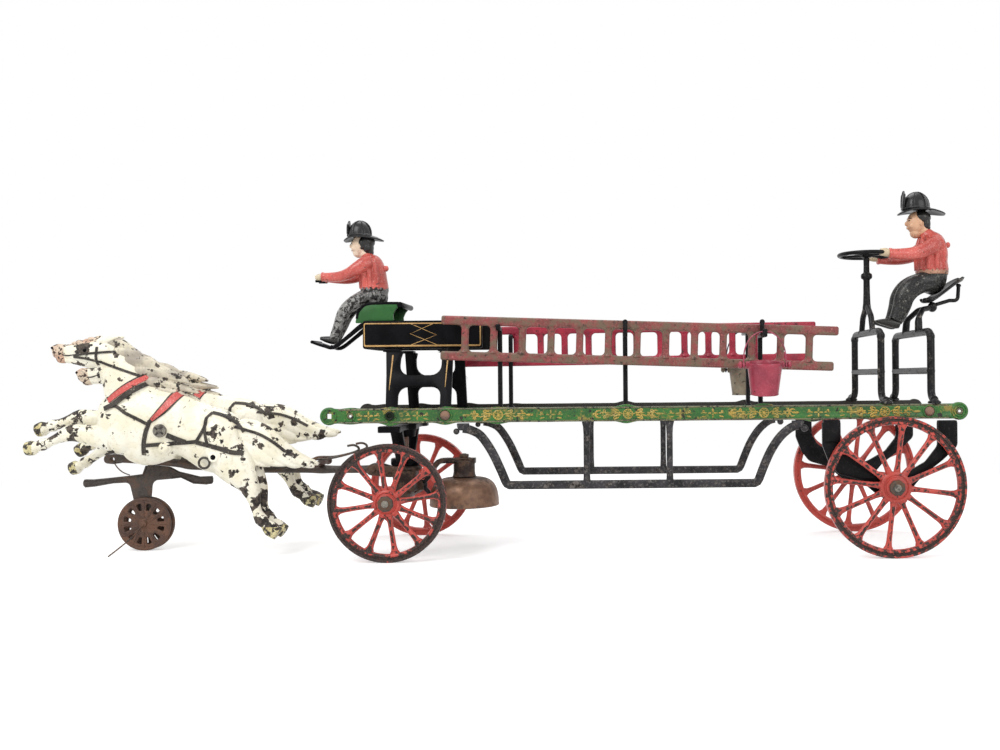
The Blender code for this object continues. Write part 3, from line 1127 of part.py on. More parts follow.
DRIVER = {
    "torso": ((-102.5, SEAT_TOP_Z + GAP, 8.6, 9.4), (-102.6, 203.6, 10.8, 12.0), (-103.0, 212.0, 9.6, 11.4),
              (-102.4, 220.0, 10.2, 12.8), (-103.4, 227.4, 8.6, 11.6), (-107.0, 232.0, 4.4, 5.0),
              (-109.0, 235.5, 4.2, 4.4)),
    "head": ((-111.4, 231.4, 3.6, 3.4), (-112.4, 235.0, 6.6, 5.8), (-112.4, 240.4, 7.8, 6.8), (-111.8, 246.4, 7.4, 6.8)),
    "crown": ((-110.8, 244.8, 9.6, 8.6), (-110.6, 250.6, 8.8, 7.8), (-111.4, 256.4, 6.0, 5.0),
              (-112.4, 260.2, 2.2, 1.6)),
    "brim": ((-126.8, 244.8, 0.8, 3.6), (-120.6, 245.4, 1.1, 9.4), (-111.0, 245.4, 1.2, 11.2), (-100.4, 244.2, 1.1, 8.4),
             (-94.2, 242.6, 0.8, 3.2)),
    "arm": ((-101.6, 226.4, 4.8, 4.2, 10.0), (-106.6, 221.8, 5.2, 4.6, 12.6), (-117.6, 215.0, 4.3, 4.0, 13.0),
            (-128.0, 213.8, 3.8, 3.6, 10.0), (-138.0, 214.8, 3.2, 3.0, 6.0), (-143.8, 215.2, 2.4, 2.4, 4.2)),
    "leg": ((-98.0, 201.4, 6.4, 5.8, 6.0), (-112.0, 201.6, 6.4, 5.8, 6.4), (-123.6, 198.6, 5.8, 5.2, 6.4),
            (-130.0, 190.0, 4.8, 4.6, 6.0), (-133.4, 180.0, 4.1, 4.0, 5.4), (-136.8, 168.0, 3.6, 3.4, 4.8)),
    "boot": ((-133.6, 164.4, 3.2, 3.0, 4.8), (-140.6, 165.6, 3.4, 3.2, 4.8), (-147.6, 166.2, 1.8, 2.6, 5.0)),
}
STEERSMAN = {
    "torso": ((341.0, 203.3, 11.0, 9.4), (341.0, 208.4, 12.4, 12.2), (340.6, 217.0, 11.6, 11.8),
              (340.8, 227.0, 12.4, 13.4), (341.0, 235.0, 9.8, 12.2), (338.0, 240.4, 5.4, 6.0), (334.4, 244.0, 4.6, 4.8)),
    "head": ((330.8, 241.6, 4.0, 3.8), (329.4, 245.6, 7.2, 6.2), (328.8, 251.8, 8.4, 7.2), (329.6, 263.0, 7.8, 7.2)),
    "crown": ((330.6, 261.8, 10.4, 9.2), (330.8, 268.4, 9.4, 8.4), (330.0, 275.4, 6.4, 5.4), (328.8, 279.8, 2.4, 1.8)),
    "brim": ((314.6, 262.2, 0.9, 4.0), (321.4, 263.2, 1.2, 10.2), (332.0, 263.0, 1.3, 12.2), (344.4, 261.6, 1.2, 9.0),
             (351.9, 259.8, 0.9, 3.4)),
    "arm": ((342.0, 233.0, 5.4, 4.6, 10.6), (336.0, 229.4, 5.8, 5.0, 13.4), (323.0, 229.0, 4.8, 4.4, 15.4),
            (311.0, 233.4, 3.8, 3.6, 16.8), (304.4, 234.9, 3.2, 3.0, 17.2), (299.0, 234.2, 2.4, 2.4, 17.4)),
    "leg": ((338.6, 203.4, 6.0, 5.8, 6.4), (326.0, 205.0, 5.8, 5.4, 6.8), (316.4, 201.0, 5.4, 5.0, 6.8),
            (311.4, 191.0, 4.6, 4.4, 6.4), (309.4, 181.6, 4.0, 4.0, 6.0), (308.0, 174.0, 3.6, 3.6, 5.8)),
    "boot": ((313.4, 173.4, 3.0, 3.2, 5.8), (305.0, 173.6, 3.4, 3.5, 6.0), (295.6, 174.0, 1.8, 2.8, 6.6)),
}
figure("driver", COAT_RED, DRIVER, (-120.8, 245.2, 260.3), (-102.5, 0, SEAT_TOP_Z))
figure("steersman", COAT_RED, STEERSMAN, (321.2, 263.0, 280.6), (341.0, 0, 203.0))
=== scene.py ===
"""Looks of a cast iron toy: a horse-drawn ladder wagon with galloping horses, driver and steersman.

The wagon points towards -X, its near side is -Y and the ground is Z = 0. Sizes are in millimetres
until MM turns them into metres.
"""
from math import asin, atan2, copysign, cos, degrees, hypot, pi, radians, sin, tan

import bpy
from mathutils import Matrix, Vector
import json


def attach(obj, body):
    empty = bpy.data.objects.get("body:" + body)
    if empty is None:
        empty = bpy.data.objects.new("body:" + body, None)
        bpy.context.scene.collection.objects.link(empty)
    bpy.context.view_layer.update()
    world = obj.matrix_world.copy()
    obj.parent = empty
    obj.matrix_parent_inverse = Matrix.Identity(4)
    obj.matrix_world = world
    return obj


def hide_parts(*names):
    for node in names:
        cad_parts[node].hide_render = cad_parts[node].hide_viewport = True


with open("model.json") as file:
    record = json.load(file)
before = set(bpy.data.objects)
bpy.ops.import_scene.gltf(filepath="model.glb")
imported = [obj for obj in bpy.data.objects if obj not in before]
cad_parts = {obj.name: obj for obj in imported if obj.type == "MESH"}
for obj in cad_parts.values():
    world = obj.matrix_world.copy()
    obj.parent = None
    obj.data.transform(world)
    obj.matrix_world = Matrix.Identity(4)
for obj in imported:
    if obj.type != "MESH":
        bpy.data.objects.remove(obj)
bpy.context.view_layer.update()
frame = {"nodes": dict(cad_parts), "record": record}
MM = 0.001

# Places that several pieces share, in millimetres
SIDES = (("near", -1), ("far", 1))
FRONT_X, FRONT_RADIUS, FRONT_HUB = -79.2, 43.3, 9.6
REAR_X, REAR_RADIUS, REAR_HUB = 292.3, 51.8, 11.2
CARRIAGE_X, CARRIAGE_RADIUS = -285.8, 21
CARRIAGE_AXLE = (CARRIAGE_X, 0, CARRIAGE_RADIUS)
HORSE_PIVOT = (-251.3, 0, 83.4)
TRACE_HOLE_X, TRACE_HOLE_Z = -214.6, 76.3
POLE_HINGE = (-104, 0, 62.5)
RACK_X = {"front_rack": 1, "middle_rack": 96, "rear_rack": 198.2}
CAMERA_X, CAMERA_Z = 91.8, 133.3

# Finishes


def linear(code):
    """A colour written as sRGB hex becomes a linear one."""
    parts = [int(code[k:k + 2], 16) / 255 for k in (0, 2, 4)]
    return tuple(c / 12.92 if c <= 0.04045 else ((c + 0.055) / 1.055) ** 2.4 for c in parts) + (1,)


def add(tree, kind, props=(), values=(), links=()):
    """Adds one node with its settings, its socket values and the sockets that feed it."""
    made = tree.nodes.new(kind)
    for key, value in dict(props).items():
        setattr(made, key, value)
    for key, value in dict(values).items():
        made.inputs[key].default_value = value
    for key, socket in dict(links).items():
        tree.links.new(socket, made.inputs[key])
    return made


def blank(name):
    """An empty node material and its tree."""
    made = bpy.data.materials.new(name)
    made.use_nodes = True
    made.node_tree.nodes.clear()
    return made, made.node_tree


def cloud(tree, coords, size, detail, rough, seed):
    """Noise whose lumps are about size millimetres across; seed slides it so finishes differ."""
    place = add(tree, "ShaderNodeMapping", values={"Location": (seed, seed * 0.7, -seed)}, links={"Vector": coords})
    return add(tree, "ShaderNodeTexNoise", values={"Scale": 1 / (size * MM), "Detail": detail, "Roughness": rough},
               links={"Vector": place.outputs[0]}).outputs["Fac"]


def between(tree, value, low, high):
    """Nought below low, one above high and smooth between them."""
    return add(tree, "ShaderNodeMapRange", props={"interpolation_type": "SMOOTHSTEP"},
               values={"From Min": low, "From Max": high}, links={"Value": value}).outputs[0]


def sums(tree, operation, one, other):
    """Joins two values; the second may be a plain number."""
    if isinstance(other, (int, float)):
        return add(tree, "ShaderNodeMath", {"operation": operation}, {1: other}, {0: one}).outputs[0]
    return add(tree, "ShaderNodeMath", {"operation": operation}, links={0: one, 1: other}).outputs[0]


def tint(tree, share, under, over):
    """Lays colour over on colour under by a share; each may be hex or a socket."""
    made = add(tree, "ShaderNodeMix", {"data_type": "RGBA"}, links={0: share})
    for slot, colour in ((6, under), (7, over)):
        if isinstance(colour, str):
            made.inputs[slot].default_value = linear(colour)
        else:
            tree.links.new(colour, made.inputs[slot])
    return made.outputs[2]


def slope(tree, coords, way, low, high):
    """Rises from nought to one along a direction (x, y, z), between two distances in millimetres."""
    along = add(tree, "ShaderNodeVectorMath", {"operation": "DOT_PRODUCT"}, {1: way}, {0: coords}).outputs["Value"]
    return between(tree, along, low * MM, high * MM)


def skin(tree, colours, shine, height, strength, depth, values=(), links=()):
    """The end of every finish: its bumps, its shader and the output."""
    bump = add(tree, "ShaderNodeBump", values={"Strength": strength, "Distance": depth * MM},
               links={"Height": height})
    shader = add(tree, "ShaderNodeBsdfPrincipled", values=values, links={
        "Base Color": colours, "Roughness": shine.outputs[0], "Normal": bump.outputs[0], **dict(links)})
    add(tree, "ShaderNodeOutputMaterial", links={"Surface": shader.outputs[0]})


SPOKE_FACE = (66, 66.35)  # how far from the middle plane the wear on the spokes' ridges starts and is full


def enamel(name, colour, shade, bare, dust_colour, seed, chip, chip_size, rough=0.34, soft=0.018, dust=0.25,
           ior=1.42, grain=0.12, worn=(), patches=None, rim=None):
    """Old enamel on cast iron: the coat is uneven and glossy, has chipped to brown iron, and dust sits in it.

    chip is how much has gone, worn = (direction, low, high, amount) wears whole regions, patches = (colour, share,
    softness) lays a second colour over, rim = (x, z, radius, hub, side, grooved) wears a wheel's rim and spokes.
    """
    made, tree = blank(name)
    coords = add(tree, "ShaderNodeTexCoord").outputs["Object"]
    slow = cloud(tree, coords, 14, 2, 0.5, seed)
    fine = cloud(tree, coords, chip_size * 0.36, 4, 0.62, seed + 0.31)
    flakes = cloud(tree, coords, chip_size, 5, 0.6, seed + 0.17)
    coat = tint(tree, between(tree, slow, 0.35, 0.68), colour, shade)
    coat = tint(tree, sums(tree, "MULTIPLY", between(tree, fine, 0.5, 0.72), dust), coat, dust_colour)
    if patches:
        second, share, softness = patches
        wide = cloud(tree, coords, chip_size * 2.2, 4, 0.6, seed + 0.77)
        middle = 0.84 - share * 0.3
        laid = between(tree, sums(tree, "ADD", wide, sums(tree, "MULTIPLY", fine, 0.3)), middle - softness / 2,
                       middle + softness / 2)
        coat = tint(tree, laid, coat, second)
    gone = flakes
    for way, low, high, amount in worn:
        gone = sums(tree, "ADD", gone, sums(tree, "MULTIPLY", slope(tree, coords, way, low, high), amount))
    if rim:
        x, z, radius, hub, side, grooved = rim
        centre = add(tree, "ShaderNodeMapping", {"vector_type": "POINT"},
                     {"Location": (-x * MM, 0, -z * MM), "Scale": (1, 0, 1)}, {"Vector": coords})
        span = add(tree, "ShaderNodeVectorMath", {"operation": "LENGTH"},
                   links={0: centre.outputs[0]}).outputs["Value"]
        ridge = sums(tree, "MULTIPLY", slope(tree, coords, (0, side, 0), *SPOKE_FACE),
                     between(tree, span, (hub + 0.6) * MM, (hub + 2.6) * MM))
        gone = sums(tree, "ADD", gone, sums(tree, "MULTIPLY", ridge, 0.17))
        tyre = between(tree, span, (radius - 3.9) * MM, (radius - 3.4) * MM)
        if grooved:
            tyre = sums(tree, "SUBTRACT", tyre, between(tree, span, (radius - 1.9) * MM, (radius - 1.5) * MM))
        gone = sums(tree, "ADD", gone, sums(tree, "MULTIPLY", tyre, 0.13 if side < 0 else 0.05))
    level = 0.74 - 0.26 * chip
    chips = between(tree, sums(tree, "ADD", gone, sums(tree, "MULTIPLY", fine, 0.10)), level + 0.057 - soft / 2,
                    level + 0.057 + soft / 2)
    colours = tint(tree, chips, coat, tint(tree, between(tree, fine, 0.4, 0.6), bare, "1d1815"))
    shine = add(tree, "ShaderNodeMapRange", values={"To Min": rough, "To Max": 0.62}, links={"Value": chips})
    lumps = cloud(tree, coords, 1.1, 3, 0.6, seed)
    height = sums(tree, "ADD", sums(tree, "MULTIPLY", lumps, grain), sums(tree, "MULTIPLY", chips, -0.25))
    skin(tree, colours, shine, height, 0.55, 0.4, {"IOR": ior})
    return made


def bare_metal(name, colour, shade, patina, seed, share, size=6, rough=0.42, metallic=0.85, grain=0.2):
    """Uncoated metal that has gone dull: rust or tarnish lies over it in clouds and takes its shine."""
    made, tree = blank(name)
    coords = add(tree, "ShaderNodeTexCoord").outputs["Object"]
    slow = cloud(tree, coords, size * 2.4, 3, 0.55, seed)
    fine = cloud(tree, coords, size * 0.35, 5, 0.65, seed + 0.4)
    body = tint(tree, between(tree, fine, 0.35, 0.65), colour, shade)
    mixed = sums(tree, "ADD", sums(tree, "MULTIPLY", slow, 0.65), sums(tree, "MULTIPLY", fine, 0.35))
    rust = between(tree, mixed, 0.62 - 0.3 * share, 0.72 - 0.3 * share)
    colours = tint(tree, rust, body, patina)
    shine = add(tree, "ShaderNodeMapRange", values={"To Min": rough, "To Max": 0.78}, links={"Value": rust})
    metal = add(tree, "ShaderNodeMapRange", values={"To Min": metallic, "To Max": 0.15}, links={"Value": rust})
    lumps = cloud(tree, coords, 0.9, 4, 0.65, seed)
    skin(tree, colours, shine, lumps, 0.6, grain, links={"Metallic": metal.outputs[0]})
    return made


# Enamels: name, colour, shade, bare iron, colour of the dust and seed, then how much has chipped and the size of the
# chips, roughness, how soft the chips' edges are, amount of dust, index of refraction and grain
ENAMELS = (
    ("black_enamel_gloss", "0b0b0d", "131316", "46403b", "2c2a29", 2, 0.16, 4, 0.32, 0.018, 0.2, 1.13),
    ("ladder_enamel_crimson", "a82a3e", "882235", "5a2c30", "c25a66", 4, 0.4, 5, 0.36, 0.06, 0.35, 1.42, 0.2),
    ("bucket_enamel_crimson", "a23a4c", "862c3e", "6a3a42", "b8606c", 5, 0.3, 3.5, 0.28, 0.05, 0.4, 1.42, 0.2),
    ("bucket_enamel_beige", "8f8672", "6b6353", "4d4438", "a86f5c", 6, 0.5, 4, 0.5, 0.08, 0.5, 1.42, 0.25),
    ("jacket_enamel_red", "cd5f56", "ac463f", "7a4640", "eeb3a4", 8, 0.3, 3, 0.26, 0.06, 0.45),
    ("mane_enamel_streaked", "d6cdb6", "a1978a", "584e46", "8a8073", 26, 0.66, 5.5, 0.34, 0.05, 0.5, 1.42, 0.25),
    ("hoof_enamel_yellow", "dcd3a4", "c2b27a", "5b564c", "6a5a40", 21, 1, 4, 0.4, 0.018, 0.5),
    ("muzzle_enamel_pink_brown", "e2d3bc", "c9a48c", "5d463c", "8a6454", 22, 0.8, 2.6, 0.4, 0.018, 0.6),
    ("strap_enamel_black", "302c2a", "45403b", "9a9182", "7a7369", 23, 0.45, 2.6, 0.4, 0.05, 0.6, 1.3),
    ("collar_enamel_red", "cf5a54", "b24742", "5d4038", "e6aea2", 24, 0.4, 3, 0.35, 0.05, 0.7),
    ("trouser_enamel_black", "1b1b1d", "2c2c2c", "8b8982", "77766d", 31, 0.56, 3.2, 0.3, 0.07, 0.55, 1.35, 0.3),
    ("trouser_enamel_silvered", "8e8d8a", "5c5b5a", "1b1b1d", "dddcd8", 38, 0.86, 3, 0.26, 0.1, 0.7, 1.42, 0.4),
    ("boot_enamel_black", "1a1a1b", "2a2927", "6f6c64", "5c5850", 32, 0.25, 2.2, 0.3, 0.018, 0.3),
    ("helmet_enamel_dark_grey", "171719", "222224", "5a5854", "3c3c40", 33, 0.2, 3, 0.26, 0.05, 0.2, 1.4),
    ("hem_enamel_tan", "b98a72", "a0705a", "6a5548", "d6c0a6", 34, 0.6, 2, 0.34, 0.018, 0.6),
    ("face_enamel_cream", "ecd9c3", "e2c8ae", "8a7058", "c49a80", 35, 0, 2.2, 0.32, 0.018, 0.15),
    ("face_enamel_tan", "d9ad8c", "c99a78", "7a5a44", "b07f62", 36, 0, 2.2, 0.32, 0.018, 0.2),
    ("hand_enamel_cream", "ddd2b8", "cbb898", "7a6a54", "a08a6c", 37, 0.15, 2, 0.34, 0.018, 0.3),
    ("gilt_relief_worn", "b0933f", "8a7f3a", "3a5c2c", "e8d594", 51, 0.52, 2.2, 0.36, 0.08, 0.6, 1.42, 0.3),
    ("rail_lip_worn", "6c6a4c", "4a4a38", "25231e", "b9ad86", 55, 0.62, 3.2, 0.36, 0.05, 0.6, 1.42, 0.25),
    ("lining_enamel_gold", "c49c60", "a98048", "2a2420", "e9cf98", 52, 0.36, 2, 0.4, 0.018, 0.3),
    ("seat_enamel_green", "306632", "285629", "2c2620", "28502a", 53, 0.12, 3, 0.36, 0.018, 0.3, 1.35),
    # The front tie rod's near black finish is its own dark iron plus painted shade that makes its hollow heads read
    # as dark holes.
    ("eyelet_enamel_dark_and_hole_shade", "10120f", "182016", "4a5a38", "2d4a2a", 56, 0.3, 5, 0.34, 0.018, 0.3, 1.2),
    ("tray_enamel_black_dull", "0b0b0c", "121213", "3a352f", "232120", 57, 0.3, 5, 0.8, 0.018, 0.2, 1.04),
    ("stand_enamel_black", "121214", "1c1c1f", "76716a", "56524c", 61, 0.5, 6, 0.3, 0.09, 0.4, 1.25, 0.2),
    ("truss_enamel_black_worn", "39373a", "1d1c1e", "6b6561", "8a8580", 63, 0.6, 7, 0.34, 0.09, 0.5, 1.3, 0.3),
    ("rack_enamel_black", "0e0e10", "18181b", "5c4a40", "4a4641", 62, 0.26, 4, 0.3, 0.018, 0.3, 1.2),
    ("bail_wire_pink", "a8455c", "7c3848", "6b5a54", "6b5a48", 71, 0.5, 2, 0.35),
    ("hanger_enamel_black", "0e0e10", "17171a", "4b443e", "3d3934", 83, 0.3, 5, 0.34, 0.06, 0.3, 1.2))
(black_enamel, far_ladder_enamel, near_bucket_enamel, far_bucket_enamel, jacket_enamel, mane_enamel,
 hoof_enamel, muzzle_enamel, strap_enamel, collar_enamel, trouser_enamel, worn_trouser_enamel, boot_enamel,
 helmet_enamel, hem_enamel, cream_face_enamel, tan_face_enamel, hand_enamel, gilt_worn, lip_worn,
 lining_gold, seat_enamel, eyelet_dark_and_hole_shade, tray_enamel, stand_enamel, truss_enamel, strap_black, bail_wire,
 hanger_enamel) = [enamel(*row) for row in ENAMELS]

# Bare metals: name, colour, shade, patina and seed, then the patina's share and size, roughness, gloss and grain
METALS = (
    ("cast_iron_rusty", "3e3430", "2a2422", "5c4638", 9, 0.55),
    ("cast_iron_dark", "3d3d40", "26262a", "4a403a", 10, 0.3),
    ("sheet_steel_coppered", "84644e", "6a4f40", "4e443d", 11, 0.4, 14, 0.4, 0.5, 0.08),
    ("rosette_metal_grey", "8e897f", "6b665e", "4d4842", 25, 0.3, 2.5, 0.45, 0.5),
    ("axle_nut_iron", "55504a", "3a3531", "5e4230", 41, 0.5, 3, 0.45, 0.7),
    ("rivet_head_iron", "7c655a", "5b463c", "8a6a58", 54, 0.5, 3, 0.5, 0.4),
    ("cast_iron_brown", "584034", "42302a", "6a4c3c", 81, 0.5, 4, 0.55, 0.3, 0.25),
    ("cast_iron_pole", "4e4641", "38322f", "5e4c42", 82, 0.4, 5, 0.5, 0.4, 0.25))
(rusty_iron, dark_iron, bell_copper, rosette_iron, nut_iron, rivet_iron, brown_iron,
 pole_iron) = [bare_metal(*row) for row in METALS]

green_enamels = {
    side: enamel("green_enamel_worn_" + name, "2f6a2c", "275227", "28271f", "74863f", 1, 0.52, 4.2, soft=0.04,
                 dust=0.6, grain=0.3, worn=(((0, -side, 0), -54.7, -54.2, 0.35),), patches=("8b7c3e", 0.3, 0.12))
    for name, side in SIDES}
green_enamel = green_enamels[-1]
near_ladder_enamel = enamel("ladder_enamel_brown_red", "8a403f", "713a38", "4c3c34", "b26a64", 3, 0.46, 4, 0.4, 0.14,
                            0.9, grain=0.2, patches=("6c5a49", 0.56, 0.26))
horse_enamel = enamel("horse_enamel_white", "f7f3e2", "efe8cf", "564c43", "b5a98c", 7, 0.5, 8.5, 0.3, dust=0.35,
                      grain=0.2, worn=(((0, 0, -1), -62, -44, 0.10), ((-1, 0, 0), 300, 322, 0.085),
                                       ((0.5, 0, 1), 0, 7, 0.03), ((1, 0, 0), -214, -196, 0.04)))
wheel_enamels = {}
for k, (end, x, radius, hub) in enumerate((("front_wheel", FRONT_X, FRONT_RADIUS, FRONT_HUB),
                                           ("rear_wheel", REAR_X, REAR_RADIUS, REAR_HUB))):
    for prefix, side in SIDES:
        wheel = f"{prefix}_{end}"
        chip = (0.5, 0.36)[k] if side < 0 else 0.3
        wheel_enamels[wheel] = enamel(
            "wheel_enamel_" + wheel, "c24a40", "a23c34", "463530", "d2776a", 12 + 2 * k + side, chip, 3.2, soft=0.08,
            dust=0.5, grain=0.25, rim=(x, radius, radius, hub, side, k))

CAD_FINISH = {
    "green_paint": green_enamel, "black_enamel": black_enamel, "worn_red": near_ladder_enamel,
    "crimson": far_ladder_enamel, "bucket_crimson": near_bucket_enamel, "worn_beige": far_bucket_enamel,
    "horse_white": horse_enamel, "jacket_red": jacket_enamel, "rusty_iron": rusty_iron, "dark_iron": dark_iron,
    "bell_copper": bell_copper}
for part in frame["record"]["subparts"]:
    carried = frame["nodes"][part["node"]]
    carried.data.materials.clear()
    carried.data.materials.append(wheel_enamels.get(part["node"]) or CAD_FINISH[part["material_slot"]])

# Bench tools: each makes or shapes one piece with the modelling operators


def fresh():
    """Object mode with nothing selected."""
    if bpy.context.object and bpy.context.object.mode != "OBJECT":
        bpy.ops.object.mode_set(mode="OBJECT")
    bpy.ops.object.select_all(action="DESELECT")


def pick(piece):
    """Only this piece is selected and active."""
    fresh()
    piece.select_set(True)
    bpy.context.view_layer.objects.active = piece
    return piece


def settle(piece):
    """Puts the piece's place into its mesh."""
    pick(piece)
    bpy.ops.object.transform_apply(location=True, rotation=True, scale=True)
    return piece


def shaped(piece, kind, **settings):
    """Gives the piece one modifier and applies it."""
    pick(piece)
    made = piece.modifiers.new(kind.lower(), kind)
    for key, value in settings.items():
        setattr(made, key, value)
    bpy.ops.object.modifier_apply(modifier=made.name)
    return piece


def outwards(piece):
    """Welds the piece's doubles and turns its faces outwards."""
    pick(piece)
    bpy.ops.object.mode_set(mode="EDIT")
    bpy.ops.mesh.select_all(action="SELECT")
    bpy.ops.mesh.remove_doubles(threshold=0.004 * MM)
    bpy.ops.mesh.normals_make_consistent(inside=False)
    bpy.ops.object.mode_set(mode="OBJECT")
    return piece


def drawn(name, stations, sides, y=0):
    """A closed form drawn out ring by ring along the XZ plane.

    A station is (x, z, half depth across the path, half width in Y, and where it needs one its own y).
    """
    fresh()
    places = [Vector((s[0], s[4] if len(s) > 4 else y, s[1])) * MM for s in stations]
    turns = []
    for k in range(len(places)):
        way = places[min(k + 1, len(places) - 1)] - places[max(k - 1, 0)]
        turn = atan2(way.x, way.z)
        if turns:
            turn += 2 * pi * round((turns[-1] - turn) / (2 * pi))
        turns.append(turn)
    bpy.ops.mesh.primitive_circle_add(vertices=sides, radius=MM, fill_type="NGON", location=places[0])
    piece = bpy.context.object
    piece.name = name
    bpy.ops.object.mode_set(mode="EDIT")
    before, was = None, (1, 1)
    for k, (place, turn, station) in enumerate(zip(places, turns, stations)):
        if k:
            bpy.ops.mesh.extrude_region_move(TRANSFORM_OT_translate={"value": place - places[k - 1]})
        bpy.ops.transform.rotate(value=-(turn - (before or 0)), orient_axis="Y", center_override=place)
        bpy.ops.transform.resize(value=(station[2] / was[0], station[3] / was[1], station[2] / was[0]),
                                 center_override=place)
        before, was = turn, station[2:4]
    bpy.ops.mesh.select_all(action="SELECT")
    bpy.ops.mesh.normals_make_consistent(inside=False)
    bpy.ops.object.mode_set(mode="OBJECT")
    return settle(piece)


def flowing(points, steps):
    """A smooth line through points given as tuples of any length."""
    line = []
    for k in range(len(points) - 1):
        a, b = points[max(k - 1, 0)], points[k]
        c, d = points[k + 1], points[min(k + 2, len(points) - 1)]
        for i in range(steps):
            t = i / steps
            line.append(tuple(0.5 * (2 * q + (r - p) * t + (2 * p - 5 * q + 4 * r - s) * t * t
                                     + (3 * q - p - 3 * r + s) * t ** 3) for p, q, r, s in zip(a, b, c, d)))
    return line + [tuple(points[-1])]


def traced(name, loops, closed, dimensions="3D"):
    """A bare curve of straight stretches through loops of points in metres."""
    fresh()
    bpy.ops.curve.primitive_bezier_curve_add(location=(0, 0, 0))
    piece = bpy.context.object
    piece.name = name
    piece.data.splines.clear()
    for loop in loops:
        spline = piece.data.splines.new("POLY")
        spline.points.add(len(loop) - 1)
        for knot, place in zip(spline.points, loop):
            knot.co = (*place, 1)
        spline.use_cyclic_u = closed
    piece.data.dimensions = dimensions
    return piece


def wire(name, points, radius, sides, closed=False):
    """A round bar along points (x, y, z) or (x, y, z, share of the radius), its ends closed."""
    piece = traced(name, [[(x * MM, y * MM, z * MM) for x, y, z, *_ in points]], closed)
    for knot, place in zip(piece.data.splines[0].points, points):
        knot.radius = place[3] if len(place) > 3 else 1
    piece.data.bevel_depth = radius * MM
    piece.data.bevel_resolution = sides
    piece.data.use_fill_caps = not closed
    bpy.ops.object.convert(target="MESH")
    return outwards(bpy.context.object)


TURNS = {"XZ": (pi / 2, 0, 0), "YZ": (pi / 2, 0, pi / 2), "XY": (0, 0, 0)}
SHIFTS = {"XZ": (0, 1, 0), "YZ": (1, 0, 0), "XY": (0, 0, 1)}


def cutout(name, outline, thick, plane, at, holes=(), soft=0.4, arc=1):
    """A flat casting with softened rims: an outline with holes in a plane, at its middle."""
    piece = traced(name, [[(a * MM, b * MM, 0) for a, b in loop] for loop in (outline, *holes)], True, "2D")
    piece.data.fill_mode = "BOTH"
    piece.data.extrude = (thick / 2 - soft) * MM
    piece.data.bevel_depth = soft * MM
    piece.data.bevel_resolution = arc
    piece.data.offset = -soft * MM
    bpy.ops.object.convert(target="MESH")
    piece = bpy.context.object
    piece.rotation_euler = TURNS[plane]
    piece.location = Vector(SHIFTS[plane]) * at * MM
    return outwards(settle(piece))


def rounded(corners, steps=4):
    """An outline whose corners (a, b, radius) become arcs."""
    points = []
    for k, corner in enumerate(corners):
        here = Vector(corner[:2])
        if len(corner) < 3:
            points.append(tuple(here))
            continue
        back = (Vector(corners[k - 1][:2]) - here).normalized()
        ahead = (Vector(corners[(k + 1) % len(corners)][:2]) - here).normalized()
        half = back.angle(ahead) / 2
        centre = here + (back + ahead).normalized() * (corner[2] / sin(half))
        start = here + back * (corner[2] / tan(half)) - centre
        end = here + ahead * (corner[2] / tan(half)) - centre
        first = atan2(start.y, start.x)
        turn = (atan2(end.y, end.x) - first + pi) % (2 * pi) - pi
        for i in range(steps + 1):
            angle = first + turn * i / steps
            points.append((centre.x + corner[2] * cos(angle), centre.y + corner[2] * sin(angle)))
    return points


def ring(a, b, radius, count, phase=0):
    """Points of a circle in a plane."""
    return [(a + radius * cos(phase + 2 * pi * k / count),
             b + radius * sin(phase + 2 * pi * k / count)) for k in range(count)]


def strap_outline(line, width):
    """The outline of a flat bar of even or changing width along a bent line in a plane."""
    sides = ([], [])
    for k, place in enumerate(line):
        here = Vector(place[:2])
        way = (Vector(line[min(k + 1, len(line) - 1)][:2]) - Vector(line[max(k - 1, 0)][:2])).normalized()
        half = (place[2] if len(place) > 2 else width) / 2
        sides[0].append(tuple(here + Vector((-way.y, way.x)) * half))
        sides[1].append(tuple(here - Vector((-way.y, way.x)) * half))
    return sides[0] + sides[1][::-1]


AXIS = {"X": (1, 0, 0), "Y": (0, 1, 0), "Z": (0, 0, 1)}


def spun(name, profile, centre, axis, steps, closed=False):
    """A profile of (radius, height) spun about an axis through a centre."""
    places = [{"X": (high, radius, 0), "Y": (radius, high, 0), "Z": (radius, 0, high)}[axis]
              for radius, high in profile]
    traced(name, [[(Vector(place) + Vector(centre)) * MM for place in places]], closed)
    bpy.ops.object.convert(target="MESH")
    piece = bpy.context.object
    bpy.ops.object.mode_set(mode="EDIT")
    bpy.ops.mesh.select_all(action="SELECT")
    bpy.ops.mesh.spin(steps=steps, angle=2 * pi, center=Vector(centre) * MM, axis=AXIS[axis])
    bpy.ops.object.mode_set(mode="OBJECT")
    return outwards(piece)


def peg(name, radius, start, end, centre, axis, soft=0.3, sides=28):
    """A round pin with softened ends between two places along an axis."""
    fresh()
    along = Vector(AXIS[axis])
    spin = {"X": (0, pi / 2, 0), "Y": (pi / 2, 0, 0), "Z": (0, 0, 0)}[axis]
    middle = Vector([c * (1 - w) for c, w in zip(centre, along)]) + along * (start + end) / 2
    bpy.ops.mesh.primitive_cylinder_add(vertices=sides, radius=radius * MM, depth=abs(end - start) * MM,
                                        location=middle * MM, rotation=spin)
    piece = bpy.context.object
    piece.name = name
    settle(piece)
    return shaped(piece, "BEVEL", width=soft * MM, segments=2, limit_method="ANGLE", angle_limit=radians(50))


def heads(name, profile, centre, steps):
    """The same turned head on both ends of a rod that lies across the toy."""
    return [spun(name, [(radius, side * high) for radius, high in profile], centre, "Y", steps) for side in (-1, 1)]


def about(place, turn, axis="Y"):
    """A turn, in degrees, about an axis through a place."""
    return (Matrix.Translation(Vector(place) * MM) @ Matrix.Rotation(radians(turn), 4, axis)
            @ Matrix.Translation(-Vector(place) * MM))


def mirrored(piece):
    """Turns a piece of the far side into its twin on the near side."""
    piece.data.transform(Matrix.Scale(-1, 4, (0, 1, 0)))
    return outwards(piece)


